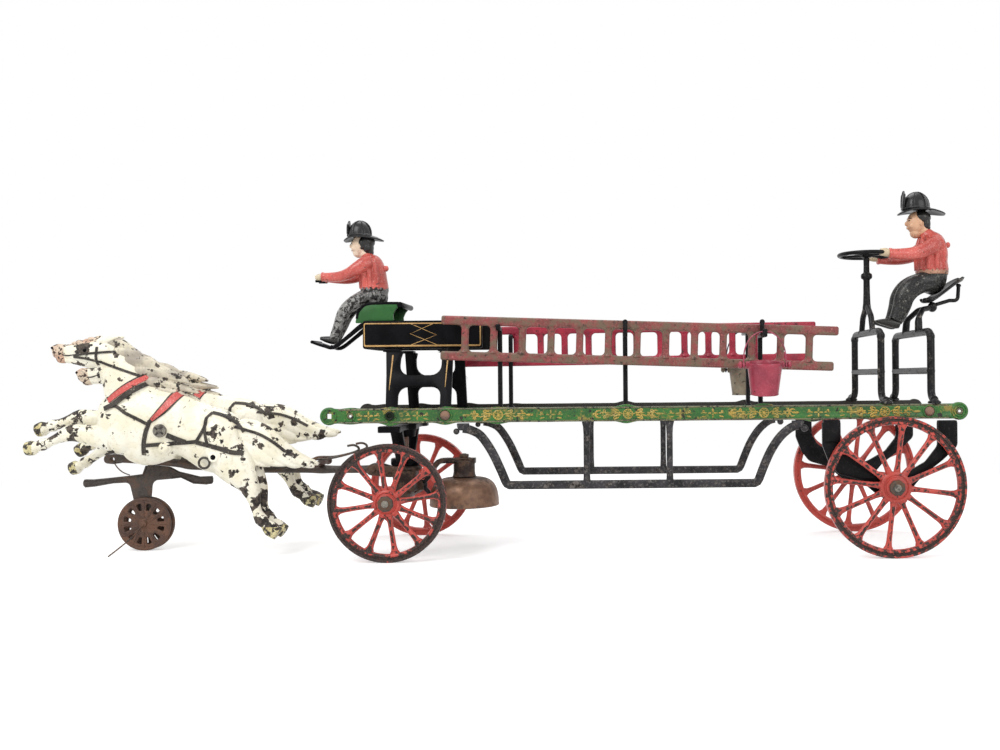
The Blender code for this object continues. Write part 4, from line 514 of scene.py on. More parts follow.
def block(name, low, high, soft=0.4):
    """A squared bar with softened edges between two corners."""
    fresh()
    low, high = Vector(low), Vector(high)
    bpy.ops.mesh.primitive_cube_add(size=1, location=(low + high) / 2 * MM, scale=(high - low) * MM)
    piece = bpy.context.object
    piece.name = name
    settle(piece)
    return shaped(piece, "BEVEL", width=soft * MM, segments=2)


def pea(name, place, radii, turn=(0, 0, 0), segments=20):
    """A rounded lump."""
    fresh()
    bpy.ops.mesh.primitive_uv_sphere_add(segments=segments, ring_count=segments // 2, radius=1,
                                         location=Vector(place) * MM, scale=Vector(radii) * MM,
                                         rotation=[radians(a) for a in turn])
    piece = bpy.context.object
    piece.name = name
    return settle(piece)


def joined(name, pieces):
    """Several pieces become one object."""
    fresh()
    for piece in pieces:
        piece.select_set(True)
    bpy.context.view_layer.objects.active = pieces[0]
    bpy.ops.object.join()
    pieces[0].name = name
    return pieces[0]


def fused(name, pieces, grain, passes):
    """Pieces melt into one casting: a voxel skin over all of them, then a light smoothing."""
    piece = pick(joined(name, pieces))
    piece.data.remesh_voxel_size = grain * MM
    bpy.ops.object.voxel_remesh()
    return shaped(piece, "SMOOTH", iterations=passes, factor=0.5)


def copied(piece, name, move):
    """A copy with its own mesh, moved by a matrix."""
    pick(piece)
    bpy.ops.object.duplicate(linked=False)
    twin = bpy.context.object
    twin.name = name
    twin.data.transform(move)
    return twin


def fit(piece, name, finish, body, stands_for=(), angle=40):
    """A piece, or parts that become one, gets its name, its finish and its body; the nodes that it stands for are
    hidden.

    Its edges shade smooth up to an angle in degrees. Without a finish it keeps those of its faces.
    """
    if isinstance(piece, list):
        piece = joined(name, piece)
    settle(piece)
    piece.name = name
    piece.data.name = name
    if finish is not None:
        piece.data.materials.clear()
        piece.data.materials.append(finish)
    bpy.ops.object.shade_smooth_by_angle(angle=radians(angle))
    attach(piece, body)
    if stands_for:
        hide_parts(*stands_for)


# Galloping horses: one casting each, with harness straps, collar and saddle in relief

TRUNK = (
    (-306.5, 101, 7, 5), (-302.5, 101.5, 16.5, 10.5), (-294, 103, 22, 13), (-283, 103, 28, 14.2),
    (-270, 100.6, 31.2, 14.2), (-258, 100.6, 28.6, 13.8), (-246, 100.4, 25, 13.2), (-237, 97.4, 22.6, 12.8),
    (-227, 92.6, 23.4, 13.4), (-216, 87, 24.6, 13.4), (-206, 82.6, 21, 11), (-199, 81, 12, 6))
NECK = (
    (-279, 110, 25, 12.6), (-283.5, 124, 20, 11.2), (-289.5, 137, 16.2, 9.6), (-296, 148, 13.2, 8.2),
    (-302, 156, 10, 7))
HEAD = (
    (-292, 157.4, 4, 3.5), (-297, 157, 9, 6.6), (-305, 156.6, 11.4, 8), (-313, 156, 10.6, 7.8),
    (-322, 156, 8, 6.2), (-330, 156.6, 6.2, 5.2), (-336, 156.6, 6.2, 5), (-340.6, 156.8, 4.4, 3.8),
    (-342.4, 156.8, 1.8, 1.8))
JAW = (
    (-304, 150.5, 5, 5.6), (-314, 149, 4.6, 5), (-324, 150.2, 3.2, 4), (-334, 151.6, 2.6, 3.4),
    (-338.6, 152.4, 1.4, 2))
FORELEG_UP = (
    (-290, 99, 12, 6.8), (-306, 102.5, 9.2, 6), (-318, 105.4, 6.9, 5.2), (-326, 106.2, 7.4, 5.4),
    (-332.5, 104.6, 5.2, 4.4), (-341, 101.8, 4.2, 3.8), (-346.5, 100.2, 5.6, 4.8), (-350.5, 99, 4.4, 4),
    (-354, 98, 5.8, 5.2), (-359, 96.6, 5, 4.9))
FORELEG_LOW = (
    (-295, 92, 11, 6.8), (-310, 93.2, 8, 5.6), (-321, 95.2, 6.8, 5.2), (-328, 94.6, 7, 5.2),
    (-335, 91.6, 4.8, 4.2), (-342, 88.4, 4, 3.7), (-347.6, 86.4, 5.5, 4.8), (-351.4, 85, 4.3, 4),
    (-354.8, 84, 5.7, 5.2), (-359.8, 83.4, 5, 4.9))
HIND_LEG = (
    (-216, 86, 18, 8.2), (-205.6, 74, 15.6, 7.8), (-197, 63.5, 12.8, 6.8), (-191.4, 55, 9.6, 5.9),
    (-188.6, 48.6, 7.6, 5.4), (-186.6, 40.8, 5, 4.2), (-184.8, 34, 4.2, 3.8), (-181.8, 28.2, 5.8, 4.8),
    (-178.6, 24.8, 4.6, 4.2), (-174.8, 21.2, 5.9, 5.2), (-169, 17.2, 5.2, 4.9))
TAIL_LOCKS = (
    ((-210, 95, 7, 4), (-196, 97, 7, 4.4), (-182, 92, 6.4, 4), (-170, 83, 4.6, 3.4), (-157, 74, 3.8, 3),
     (-145, 69.4, 2.4, 2), (-141, 68.6, 0.8, 0.9)),
    ((-208, 92, 7, 4), (-194, 93, 7, 4.4), (-181, 86, 6.4, 4), (-170, 77, 4, 3.2), (-158, 70, 2.8, 2.4),
     (-152, 68.6, 0.9, 1)),
    ((-206, 84, 7, 4), (-193, 84, 7.4, 4.2), (-182, 77, 6, 3.8), (-172, 71.6, 3, 2.6), (-163, 69.4, 0.8, 0.9)),
    ((-205, 78, 4, 3.6), (-194, 76.4, 5, 3.8), (-184, 71.4, 2.8, 2.6), (-175, 69, 0.7, 0.8)))
MANE_LOCKS = (
    ((-308, 160, 3, 3), (-300, 164.6, 3.2, 3), (-291, 163.4, 3.2, 2.8), (-283, 158.6, 2.4, 2),
     (-277, 155.4, 0.7, 0.8)),
    ((-300, 156, 4, 3.2), (-290, 157.4, 4.4, 3.4), (-280, 154.4, 4, 3.2), (-270, 146.6, 2.4, 2.2),
     (-264, 141.6, 0.7, 0.8)),
    ((-292, 148, 4.6, 3.2), (-282, 150.4, 5, 3.6), (-270, 148.4, 4.6, 3.4), (-260, 141.6, 2.8, 2.4),
     (-253.6, 136.4, 0.7, 0.8)),
    ((-284, 140, 4.6, 3.2), (-274, 142.6, 5.2, 3.6), (-261, 141.2, 4.4, 3.4), (-249, 137.4, 3, 2.6),
     (-238.6, 133, 0.8, 0.9)),
    ((-280, 132, 4.4, 3.2), (-268, 134.4, 4.6, 3.4), (-256, 132.6, 3.6, 3), (-244, 129.4, 2.6, 2.2),
     (-231.4, 125.6, 0.7, 0.8)),
    ((-270, 124, 4, 3), (-258, 127, 4, 3.2), (-246, 124.4, 3.2, 2.8), (-230.4, 119, 0.8, 0.9)))

horse_parts = [drawn("trunk", flowing(TRUNK, 3), 28), drawn("neck", flowing(NECK, 3), 24),
               drawn("head", flowing(HEAD, 3), 24), drawn("jaw", flowing(JAW, 2), 18)]
for side in (-1, 1):
    horse_parts += [pea("shoulder", (-284, side * 6.6, 98), (17, 8.4, 19), (0, 20, 0)),
                    pea("haunch", (-215, side * 6, 90), (18, 8.4, 17), (0, 35, 0)),
                    pea("cheek", (-306.6, side * 4, 151.8), (6.4, 4.8, 6.4)),
                    pea("brow", (-315.6, side * 5.4, 160.2), (3.6, 2.2, 2.2), (0, 8, 0)),
                    pea("nose", (-336.8, side * 2.2, 158.2), (5.2, 3.8, 5)),
                    pea("lip", (-335, side * 1.4, 151.4), (4, 3.2, 3.2)),
                    pea("nostril_rim", (-339.6, side * 3.4, 159.8), (2.4, 2, 2.2)),
                    pea("hip_bone", (-222, side * 9.6, 104), (5, 3, 4)),
                    drawn("ear", ((-308, 161, 3, 1.8), (-301, 165.4, 2.8, 1.8), (-295, 167.2, 2, 1.4),
                                  (-290.4, 168, 0.6, 0.6)), 12, y=side * 4.8)]
horse_parts += [pea("forelock_curl", (-326 + 4.6 * k, (-1) ** k * 1.4, 163 + 1.1 * k), (3, 3, 2))
                for k in range(5)]


def hair_locks(name, locks, slide, rise, apart):
    """Each lock twice, side by side, one a little further back and up or down than the other."""
    return [drawn(name, flowing([(x + side * slide, z + side * rise, a, b) for x, z, a, b in lock], 3), 14,
                  y=side * apart) for lock in locks for side in (-1, 1)]


mane = hair_locks("mane_lock", MANE_LOCKS, -1.4, 0.9, 2.3)
horse_parts += hair_locks("tail_lock", TAIL_LOCKS, 1.2, 0.8, 2)
for shape, y in ((FORELEG_UP, 6.4), (FORELEG_LOW, -6.4), (HIND_LEG, -6.6)):
    slim = [(x, z, a * (0.86 if 2 < k < len(shape) - 2 else 1), b) for k, (x, z, a, b) in enumerate(shape)]
    horse_parts.append(drawn("leg", flowing(slim, 2), 18, y=y))
far_hind = [(x + 0.6 * (84 - z) / 68, z - 0.4 * (84 - z) / 68, a, b) for x, z, a, b in HIND_LEG]
horse_parts.append(drawn("leg", flowing(far_hind, 2), 18, y=6.6))
horse_parts += [peg("pivot_boss", 4.6, -15.3, 15.3, HORSE_PIVOT, "Y", 0.6),
                peg("trace_boss", 3.9, -15.2, 15.2, (TRACE_HOLE_X, 0, TRACE_HOLE_Z), "Y", 0.7)]
casting = fused("horse_casting", horse_parts, 0.75, 2)
hair = fused("mane", mane, 0.6, 2)


def horse_finish_of(x, y, z):
    """Which of the horse's finishes lies at a place: 0 is the coat, 1 a hoof, 2 the muzzle and forelock."""
    if x < -353.6 or z < 22.6:
        return 1
    muzzle = x < -331.8 and 147.6 < z < 164.6
    forelock = -331 < x < -306 and z > 161.6 + 0.12 * (x + 330)
    return 2 if muzzle or forelock else 0


for finish in (horse_enamel, hoof_enamel, muzzle_enamel):
    casting.data.materials.append(finish)
for face in casting.data.polygons:
    face.material_index = horse_finish_of(*(face.center / MM))


FLANK_SHARE = 0.983  # a flank is this much nearer to the camera than the middle plane
STRAP_SINK = 0.15


def on_flank(x, z):
    """Where a place measured on the middle plane lies on the flank."""
    return CAMERA_X + (x - CAMERA_X) * FLANK_SHARE, CAMERA_Z + (z - CAMERA_Z) * FLANK_SHARE


def strap(name, line, width, side, thick=0.9):
    """A strap in relief on one side of the casting along a line of (x, z[, width])."""
    path = flowing([on_flank(*p[:2]) + (p[2:] or (width,)) for p in line], 4)
    fresh()
    bpy.ops.mesh.primitive_grid_add(x_subdivisions=len(path) - 1, y_subdivisions=4, size=1)
    piece = bpy.context.object
    piece.name = name
    for corner in piece.data.vertices:
        k = round((corner.co.x + 0.5) * (len(path) - 1))
        here, last, ahead = (Vector(path[i][:2]) for i in (k, max(k - 1, 0), min(k + 1, len(path) - 1)))
        way = (ahead - last).normalized()
        aside = corner.co.y * path[k][2]
        corner.co = ((here.x - way.y * aside) * MM, side * 24 * MM, (here.y + way.x * aside) * MM)
    settle(piece)
    shaped(piece, "SHRINKWRAP", target=casting, wrap_method="PROJECT", wrap_mode="ABOVE_SURFACE",
           use_project_y=True, use_positive_direction=side < 0, use_negative_direction=side > 0,
           offset=-STRAP_SINK * MM)
    for corner in piece.data.vertices:  # where the line runs past the casting it goes inside
        if abs(corner.co.y) > 20 * MM:
            corner.co.y = side * 2.5 * MM
    flat = copied(piece, name + "_top", Matrix.Translation((0, side * thick * MM, 0)))
    piece = joined(name, [piece, flat])
    pick(piece)
    bpy.ops.object.mode_set(mode="EDIT")
    bpy.ops.mesh.select_mode(type="EDGE")
    bpy.ops.mesh.select_all(action="DESELECT")
    bpy.ops.mesh.select_non_manifold()
    bpy.ops.mesh.bridge_edge_loops()
    bpy.ops.object.mode_set(mode="OBJECT")
    return outwards(piece)


STRAPS = (
    ("nose_band", ((-331, 154.4), (-320.3, 155.6), (-310.1, 156.4), (-298.4, 157.3)), 1.3),
    ("cheek_band", ((-311.7, 161), (-312.1, 154), (-311.2, 146.6)), 1.3),
    ("bit_strap", ((-331, 153.2), (-320.3, 151.7), (-309.3, 149.2)), 1.3),
    ("rein", ((-309.3, 149.2), (-293.7, 143.6), (-278, 137.7), (-267.9, 134.2), (-256.1, 129.2),
              (-246.7, 126.2)), 1.4),
    ("breast_strap", ((-302, 114), (-295.2, 115), (-287.4, 109.9), (-278, 105.2), (-268.6, 100.1)), 1.8),
    ("trace_upper", ((-256.1, 92.5), (-248.3, 88.9), (-242.1, 86.8)), 3),
    ("trace_lower", ((-273, 84.5), (-257.7, 85.6), (-242.1, 86.5), (-233.5, 87.3)), 2.2),
    ("hip_strap", ((-233.5, 87.3), (-230.3, 92.2), (-227.2, 98.5), (-225.6, 105.8), (-222.8, 109.6)), 1.7),
    ("hip_strap_low", ((-227.2, 98.5), (-226, 91), (-224.6, 85)), 1.7),
    ("back_strap", ((-223, 109.6), (-215, 107.4), (-207.6, 103.2), (-202.4, 98.6), (-199.4, 94)), 1.7),
    ("breeching", ((-233.5, 86.8), (-215.5, 82.2), (-206.1, 79), (-197.9, 78.2)), 2.6),
    ("rump_strap", ((-206, 98.4), (-197, 95.4), (-188, 92.4), (-178, 86.6), (-168, 78.6)), 1.6))
GIRTH = ((-268.4, 103.6), (-271.6, 95), (-273.8, 86), (-275, 77))
SADDLE_BACK = ((-243.6, 128), (-248, 121.4), (-257, 110.4), (-268, 102.4))
SADDLE_FRONT = ((-254, 126), (-260, 115.6), (-268.8, 103.6))
COLLAR_FRONT = ((-273.4, 141.8), (-288.2, 132.4), (-303.4, 121.2))
COLLAR_BACK = ((-265.6, 137), (-270, 134.6), (-284.2, 126), (-296.8, 117.2), (-304.6, 113.2))
straps = [strap(name, line, width * 1.3, side) for side in (-1, 1) for name, line, width in STRAPS]
straps += [strap("mouth_line", ((-340.6, 155, 0.7), (-336, 154.3, 1.1), (-330.6, 155, 0.7)), 1, side, 0.3)
           for side in (-1, 1)]
reds, greys = [], []
ROSETTE = on_flank(-261, 96)
RING_AT = on_flank(-227, 71)
for side in (-1, 1):
    straps += [strap("girth", GIRTH, 3, side), strap("saddle_edge_back", SADDLE_BACK, 1.5, side),
               strap("saddle_edge_front", SADDLE_FRONT, 1.5, side),
               strap("collar_edge_front", COLLAR_FRONT, 0.9, side),
               strap("collar_edge_back", COLLAR_BACK, 3.6, side, 1.8)]
    reds += [strap("saddle_pad", ((-249.4, 125.4, 7.2), (-257.6, 114, 4.8), (-267, 104.2, 2.4)), 5, side, 1.3),
             strap("collar_pad", ((-271, 139.6, 3.4), (-286.8, 129.8, 4.4), (-302.4, 119.2, 3.6)), 4, side, 1.9)]
    greys.append(peg("harness_rosette", 5, side * 12.6, side * 15.3, (ROSETTE[0], 0, ROSETTE[1]), "Y", 0.7))
    greys.append(pea("rosette_boss", (ROSETTE[0], side * 15.3, ROSETTE[1]), (1.3, 0.9, 1.3), segments=14))
    # Dark bars on each rosette are painted shade standing for its four slots.
    for lean in (38, 128, 218, 308):
        slit = block("rosette_slot_painted_shade", (1.5, side * 15.4 - 0.3, -0.75), (4.1, side * 15.4 + 0.3, 0.75), 0.25)
        slit.data.transform(Matrix.Translation(Vector((ROSETTE[0], 0, ROSETTE[1])) * MM)
                            @ Matrix.Rotation(radians(lean), 4, "Y"))
        straps.append(slit)
    straps.append(spun("trace_ring", ring(4, side * 14.2, 0.9, 8), (RING_AT[0], 0, RING_AT[1]), "Y", 24,
                       closed=True))
spots = []
for side in (-1, 1):
    spots += [pea("eye", (-314.4, side * 7.2, 157.8), (1.7, 1.1, 1.4), segments=14),
              pea("nostril", (-340.4, side * 5, 160), (1.2, 0.7, 1), segments=12),
              # A flat black disc on each trace boss is painted shade standing for the boss's hole.
              pea("trace_hole_painted_shade", (TRACE_HOLE_X, side * 15.2, TRACE_HOLE_Z), (2, 0.35, 2), segments=18)]

# The eyes piece also holds the painted shade of the trace holes, and the harness the painted shade of the rosette
# slots.
HORSE_PIECES = (("casting", casting, None, "horse_white", 60), ("mane", hair, mane_enamel, "horse_white", 60),
                ("harness", joined("harness", straps), strap_enamel, "black_enamel", 40),
                ("collar", joined("collar_and_saddle", reds), collar_enamel, "crimson", 40),
                ("eyes", joined("eyes_nostrils_and_hole_shade", spots), black_enamel, "black_enamel", 40),
                ("rosettes", joined("harness_rosettes", greys), rosette_iron, "dark_iron", 40))
for horse, y, lean in (("near_horse", -29, 0), ("far_horse", 29, -11)):
    move = Matrix.Translation((0, y * MM, 0)) @ about(HORSE_PIVOT, lean)
    for kind, made, finish, slot, angle in HORSE_PIECES:
        name = f"{horse}_{kind}"
        fit(copied(made, name, move), name, finish, horse, (horse,) if made is casting else (), angle)
for _, made, *_ in HORSE_PIECES:
    pick(made)
    bpy.ops.object.delete()


# Seated figures: jacket, trousers, boots, head, hair and helmet, each a casting of its own


def folds(torso, turns, radius):
    """Upright flutes round a torso: each follows its skin at one angle from the front."""
    made = []
    for turn in turns:
        line = [(x + (deep - 0.5) * cos(radians(turn)), z, radius, radius,
                 (wide - 0.5) * sin(radians(turn))) for x, z, deep, wide in torso[1:-1]]
        line[0] = line[0][:2] + (radius * 0.75, radius * 0.75, line[0][4])
        line[-1] = line[-1][:2] + (radius * 0.35, radius * 0.35, line[-1][4])
        made.append(drawn("fold", flowing(line, 3), 10))
    return made


def brim(centre, reach, half, droop):
    """An oval helmet brim: reach is (front, back), droop is (front, back, side)."""
    x, z = centre
    inner, outer = 0.55, 1
    shape = spun("brim", [(inner, 0), (0.72, 0.02), (0.86, 0), (outer, 0)], (0, 0, 0), "Z", 56)
    for corner in shape.data.vertices:
        a, b = corner.co.x / MM, corner.co.y / MM
        span = hypot(a, b)
        share = max(0, (span - inner) / (outer - inner))
        long = reach[1] if a > 0 else reach[0]
        along = a / span
        fall = (droop[1] if a > 0 else droop[0]) * along * along + droop[2] * (1 - along * along)
        corner.co = ((x + a * long) * MM, b * half * MM, (z - fall * share ** 1.4) * MM)
    outwards(shape)
    return shaped(shape, "SOLIDIFY", thickness=MM, offset=0, use_even_offset=True)


def helmet(base, deep, wide, high, front_tip, back_tip, side_reach, shield_x, shield_top):
    """Domed crown with combs, brim that droops front and back, and a tall front shield."""
    x, z = base
    dome = [(x, z - 1.6, deep, wide), (x, z, deep, wide), (x - 0.1, z + high * 0.28, deep * 0.97, wide * 0.96),
            (x, z + high * 0.55, deep * 0.86, wide * 0.85), (x + 0.2, z + high * 0.78, deep * 0.66, wide * 0.64),
            (x + 0.3, z + high * 0.93, deep * 0.42, wide * 0.38), (x + 0.3, z + high, deep * 0.14, wide * 0.12)]
    parts = [drawn("crown", flowing(dome, 3), 36)]
    for turn in (0, 60, 120):
        comb = []
        for k in range(15):
            lift = pi * k / 14
            across = cos(lift)
            comb.append((x + 0.2 + across * deep * cos(radians(turn)),
                         across * wide * sin(radians(turn)),
                         z + (high + 0.1) * sin(lift) ** 0.8 - (0.4 if k in (0, 14) else 0)))
        parts.append(wire("comb", comb, 0.55, 2))
    band = spun("hat_band", [(1, -0.5), (1.05, -0.2), (1.05, 0.5), (1, 0.9)], (0, 0, 0), "Z", 48)
    for corner in band.data.vertices:
        a, b, c = corner.co / MM
        corner.co = ((x + a * (deep + 0.2)) * MM, b * (wide + 0.2) * MM, (z + c * 1.2) * MM)
    parts.append(shaped(band, "SOLIDIFY", thickness=0.7 * MM, offset=-1))
    parts.append(brim((x, z - 0.4), (x - front_tip[0], back_tip[0] - x), side_reach,
                      (z - front_tip[1], z - back_tip[1], 1.2)))
    low = z + 1
    outline = [(-3.4, low), (3.4, low), (4.6, low + (shield_top - low) * 0.45), (4.4, shield_top - 3.4),
               (2.4, shield_top - 2.4), (0, shield_top), (-2.4, shield_top - 2.4), (-4.4, shield_top - 3.4),
               (-4.6, low + (shield_top - low) * 0.45)]
    shield = cutout("front_shield", outline, 1.3, "YZ", 0, soft=0.3)
    rim = wire("shield_rim", [(-0.75, y * 0.84, low + (h - low) * 0.9 + 0.7) for y, h in outline], 0.3, 1,
               closed=True)
    for piece in (shield, rim):
        piece.data.transform(Matrix.Translation((shield_x * MM, 0, 0)) @ about((0, 0, low), 4))
    return parts + [shield, rim, block("shield_foot", (shield_x - 0.8, -3, low - 1.8),
                                       (shield_x + 2.6, 3, low + 0.4))]


def face(centre, deep, wide, tall, chin):
    """A plain doll's head on even proportions, its features small and calm."""
    x, z = centre
    parts = [pea("skull", (x, 0, z), (deep, wide, tall), segments=32),
             pea("jaw", (chin[0] + 2.6, 0, chin[1] + 3.6), (deep * 0.62, wide * 0.66, 4.4), (0, -16, 0), 24),
             pea("nose", (x - deep - 0.1, 0, z - 0.4), (1.5, 1.05, 2), (0, 18, 0), 14),
             pea("lips", (x - deep + 1.1, 0, z - 4.2), (1.3, 2, 0.9), segments=14)]
    for side in (-1, 1):
        parts += [pea("ear", (x + 1.8, side * (wide - 0.1), z - 0.6), (1.5, 0.9, 2.3), (0, -10, 0), 14),
                  pea("cheek", (x - deep * 0.56, side * wide * 0.5, z - 2.4), (2.6, 2.2, 2.6), segments=16)]
    return parts


def features(centre, deep, wide):
    """Painted brows, eyes and mouth, set into the face."""
    x, z = centre
    marks = []
    for side in (-1, 1):
        aside = side * wide * 0.46
        marks.append(pea("eye", (x - deep * 0.86, aside, z + 1.5), (0.7, 1, 0.5), (0, 0, side * 24), 12))
        marks.append(wire("brow", [(x - deep * 0.86, aside - side * 1.5, z + 3.1),
                                   (x - deep * 0.84, aside, z + 3.6),
                                   (x - deep * 0.66, aside + side * 1.5, z + 3.2)], 0.36, 1))
    marks.append(wire("mouth", [(x - deep * 0.82, -1.9, z - 4.2), (x - deep - 0.05, 0, z - 4.3),
                                (x - deep * 0.82, 1.9, z - 4.2)], 0.32, 1))
    return marks


def seated(body, tables, finishes):
    """Builds and fits one figure from its tables of stations."""
    jacket = [drawn("torso", flowing(tables["torso"], 4), 36)]
    jacket += folds(tables["torso"], tables["folds"], tables["fold_radius"])
    trousers = [drawn("hips", flowing(tables["hips"], 4), 32)]
    boots, hands = [], []
    for side in (-1, 1):
        turned = {key: [row[:4] + (side * row[4],) for row in tables[key]] for key in ("arm", "hand", "leg", "boot")}
        jacket.append(drawn("sleeve", flowing(turned["arm"], 4), 24))
        wrist = turned["arm"][-1]
        jacket.append(drawn("cuff", [(wrist[0] + back, wrist[1], wrist[2] + more, wrist[3] + more, wrist[4])
                                     for back, more in ((1.6, 0.3), (0.2, 0.7), (-0.7, 0.4))], 24))
        trousers.append(drawn("leg", flowing(turned["leg"], 4), 24))
        boots.append(drawn("boot", flowing(turned["boot"], 4), 20))
        hands.append(drawn("hand", flowing(turned["hand"], 3), 16))
        finger = turned["hand"][-1]
        hands += [pea("knuckle", (finger[0] + 0.6 + k * 1.5, finger[4], finger[1] + 1), (0.9, 1.5, 0.9), segments=10)
                  for k in range(3)]
    x, z = tables["knob"]
    jacket.append(pea("back_knob", (x, 0, z), (2, 2.2, 2.4)))
    jacket.append(peg("knob_stem", 1.2, x - 5, x, (0, 0, z), "X"))
    coat = fused("jacket", jacket, 0.5, 2)
    for finish in (jacket_enamel, finishes["hem"]):
        coat.data.materials.append(finish)
    for patch in coat.data.polygons:
        low = patch.center.z / MM < tables["hem"] + 0.7 * sin(patch.center.x / MM * 1.7)
        patch.material_index = int(low)
    fit(coat, body + "_jacket", None, body, (body,), 60)
    centre, deep, wide, tall, chin = tables["face"]
    head = face(centre, deep, wide, tall, chin) + [drawn("neck", tables["neck"], 24)]
    hair = [pea("hair", (x, y, z), radii, segments=24) for x, y, z, *radii in tables["hair"]]
    castings = (("trousers", trousers, 0.5, 2, finishes["trousers"], "black_enamel"),
                ("boots", boots, 0.45, 1, boot_enamel, "black_enamel"),
                ("hands", hands, 0.4, 1, hand_enamel, "horse_white"),
                ("head", head, 0.4, 5, finishes["face"], "horse_white"),
                ("hair", hair, 0.45, 2, boot_enamel, "black_enamel"))
    for kind, parts, grain, passes, finish, slot in castings:
        fit(fused(kind, parts, grain, passes), f"{body}_{kind}", finish, body, (), 60)
    fit(features(centre, deep, wide), body + "_features", boot_enamel, body)
    fit(helmet(*tables["helmet"]), body + "_helmet", helmet_enamel, body)


seated("driver", {
    "torso": ((-103, 203, 10.6, 12), (-102.8, 206, 11, 12.4), (-103.2, 212, 10.4, 11.8),
              (-103.8, 219, 9.8, 12.2), (-105.2, 225.6, 8.8, 12), (-107.8, 230, 6, 7.4),
              (-109.4, 233.2, 4.4, 4.6)),
    "folds": (62, 92, 122, 150, 180, 210, 238, 268, 298), "fold_radius": 2.1, "hem": 205.6,
    "hips": ((-102.8, 194.6, 8.8, 10), (-102.6, 198, 10.2, 11.2), (-102.8, 204.6, 10.2, 11.6)),
    "arm": ((-101.8, 226.6, 5.2, 4.4, 9.6), (-106.6, 224.8, 5.8, 5, 12.2), (-113, 220.8, 5.2, 4.6, 13.4),
            (-119.6, 217, 4.5, 4.2, 13), (-127, 215, 4.1, 3.8, 10.4), (-135, 214.8, 3.7, 3.4, 7.2),
            (-142.6, 215.2, 3.2, 3, 4.9)),
    "hand": ((-142, 215.2, 2.3, 2.2, 5), (-145.4, 215, 2.8, 2.4, 4.5), (-148.2, 214.2, 2, 2, 4.1)),
    "leg": ((-99, 200, 5.4, 6, 5.8), (-108, 199.2, 5.7, 6.2, 6.6), (-116, 195.4, 5.5, 5.6, 6.8),
            (-122.6, 190.4, 5.2, 5.2, 6.6), (-126.8, 184.6, 4.8, 4.9, 6.2), (-129.8, 177, 4.2, 4.3, 5.7),
            (-133, 169.6, 3.6, 3.8, 5.1), (-134.4, 166.2, 3.2, 3.5, 4.9)),
    "boot": ((-131, 164.6, 2.4, 2.8, 4.8), (-134.6, 165, 3.2, 3.3, 4.8), (-139.6, 165.8, 2.6, 3, 4.9),
             (-144.6, 166.8, 1.3, 2, 5)),
    "knob": (-93.4, 221.9),
    "face": ((-114, 240.6), 6.9, 6.1, 8.4, (-118.2, 231.4)),
    "neck": ((-108, 229.4, 4, 4.2), (-110, 234, 4.3, 4.4), (-111.6, 240, 4.3, 4.4)),
    "hair": ((-108.6, 0, 243.4, 6.4, 6.9, 5.8), (-107.6, 0, 238.4, 4.4, 6.4, 5.6), (-106.6, 0, 235, 3.4, 4.4, 3.4),
             (-111, -5, 241.2, 3.2, 2.2, 4.6), (-111, 5, 241.2, 3.2, 2.2, 4.6)),
    "helmet": ((-114, 248), 8.9, 8.2, 11.8, (-126.4, 243.8), (-95.2, 244.2), 11.6, -123, 260.2),
}, {"face": cream_face_enamel, "trousers": worn_trouser_enamel, "hem": worn_trouser_enamel})

seated("steersman", {
    "torso": ((340.6, 213, 12.4, 12.4), (340.6, 217, 12.8, 12.6), (340.4, 223, 12.2, 12.4),
              (340.6, 231, 12.2, 13.2), (340.2, 238.4, 10.2, 12.4), (337, 243.6, 6.8, 8),
              (334.4, 247.4, 5, 5.2)),
    "folds": (58, 88, 118, 148, 180, 212, 242, 272, 302), "fold_radius": 2.3, "hem": 216.2,
    "hips": ((337.2, 199.4, 4.6, 7.6), (338.8, 202.6, 8.4, 9.8), (340.4, 207.4, 10.8, 11.6), (340.8, 215, 12, 12)),
    "arm": ((343.6, 238.4, 5.4, 4.4, 9.8), (338.6, 236, 6.4, 5.2, 13), (330.6, 231.2, 5.8, 4.9, 15.2),
            (321.4, 228.4, 5.1, 4.5, 16.2), (311, 227.8, 4.5, 4.1, 17.2), (302.4, 228.2, 3.9, 3.6, 18)),
    "hand": ((303, 228.6, 2.8, 2.6, 18), (298.6, 229.4, 3.3, 2.8, 18.2), (294.8, 229.6, 2.6, 2.4, 18.2)),
    "leg": ((341, 207.8, 7.6, 6.4, 6), (331, 206.6, 8.2, 6.6, 6.8), (322.4, 202.4, 8.2, 6.2, 7),
            (317, 195.6, 7.8, 5.8, 6.8), (314.6, 187.8, 7.1, 5.4, 6.5), (311.8, 180.6, 6.2, 5, 6.2),
            (309.4, 176.4, 5.4, 4.7, 6.1)),
    "boot": ((312.6, 173.4, 3, 3.6, 6.1), (309, 174.2, 3.8, 4, 6.1), (302.6, 175.4, 3.1, 3.7, 6.2),
             (296.8, 176, 1.9, 2.9, 6.5), (294, 176.2, 0.9, 1.4, 6.6)),
    "knob": (353.4, 236.8),
    "face": ((328.4, 254.4), 7.5, 6.7, 9.4, (325.4, 243)),
    "neck": ((336.4, 243.4, 4.6, 4.8), (334.2, 248, 4.9, 5), (332, 254, 4.8, 5)),
    "hair": ((332.4, 0, 258.4, 7.6, 7.4, 6), (335.4, 0, 253.6, 4.2, 6.4, 6.2), (336.6, 0, 250.4, 3, 4.6, 3.2)),
    "helmet": ((328.6, 265.6), 10.4, 9.2, 13.2, (313.8, 261.4), (351.4, 261.2), 12.6, 317.8, 280.2),
}, {"face": tan_face_enamel, "trousers": trouser_enamel, "hem": hem_enamel})
fit([peg("rein_peg", 1, -148.4, -141.6, (0, side * 4.6, 211.9), "X", 0.25, 14) for side in (-1, 1)],
    "driver_rein_pegs", black_enamel, "driver")

# Road wheels: rim, twelve tapering spokes, stepped hub

WHEEL_Y, SPOKES = 64.5, 12


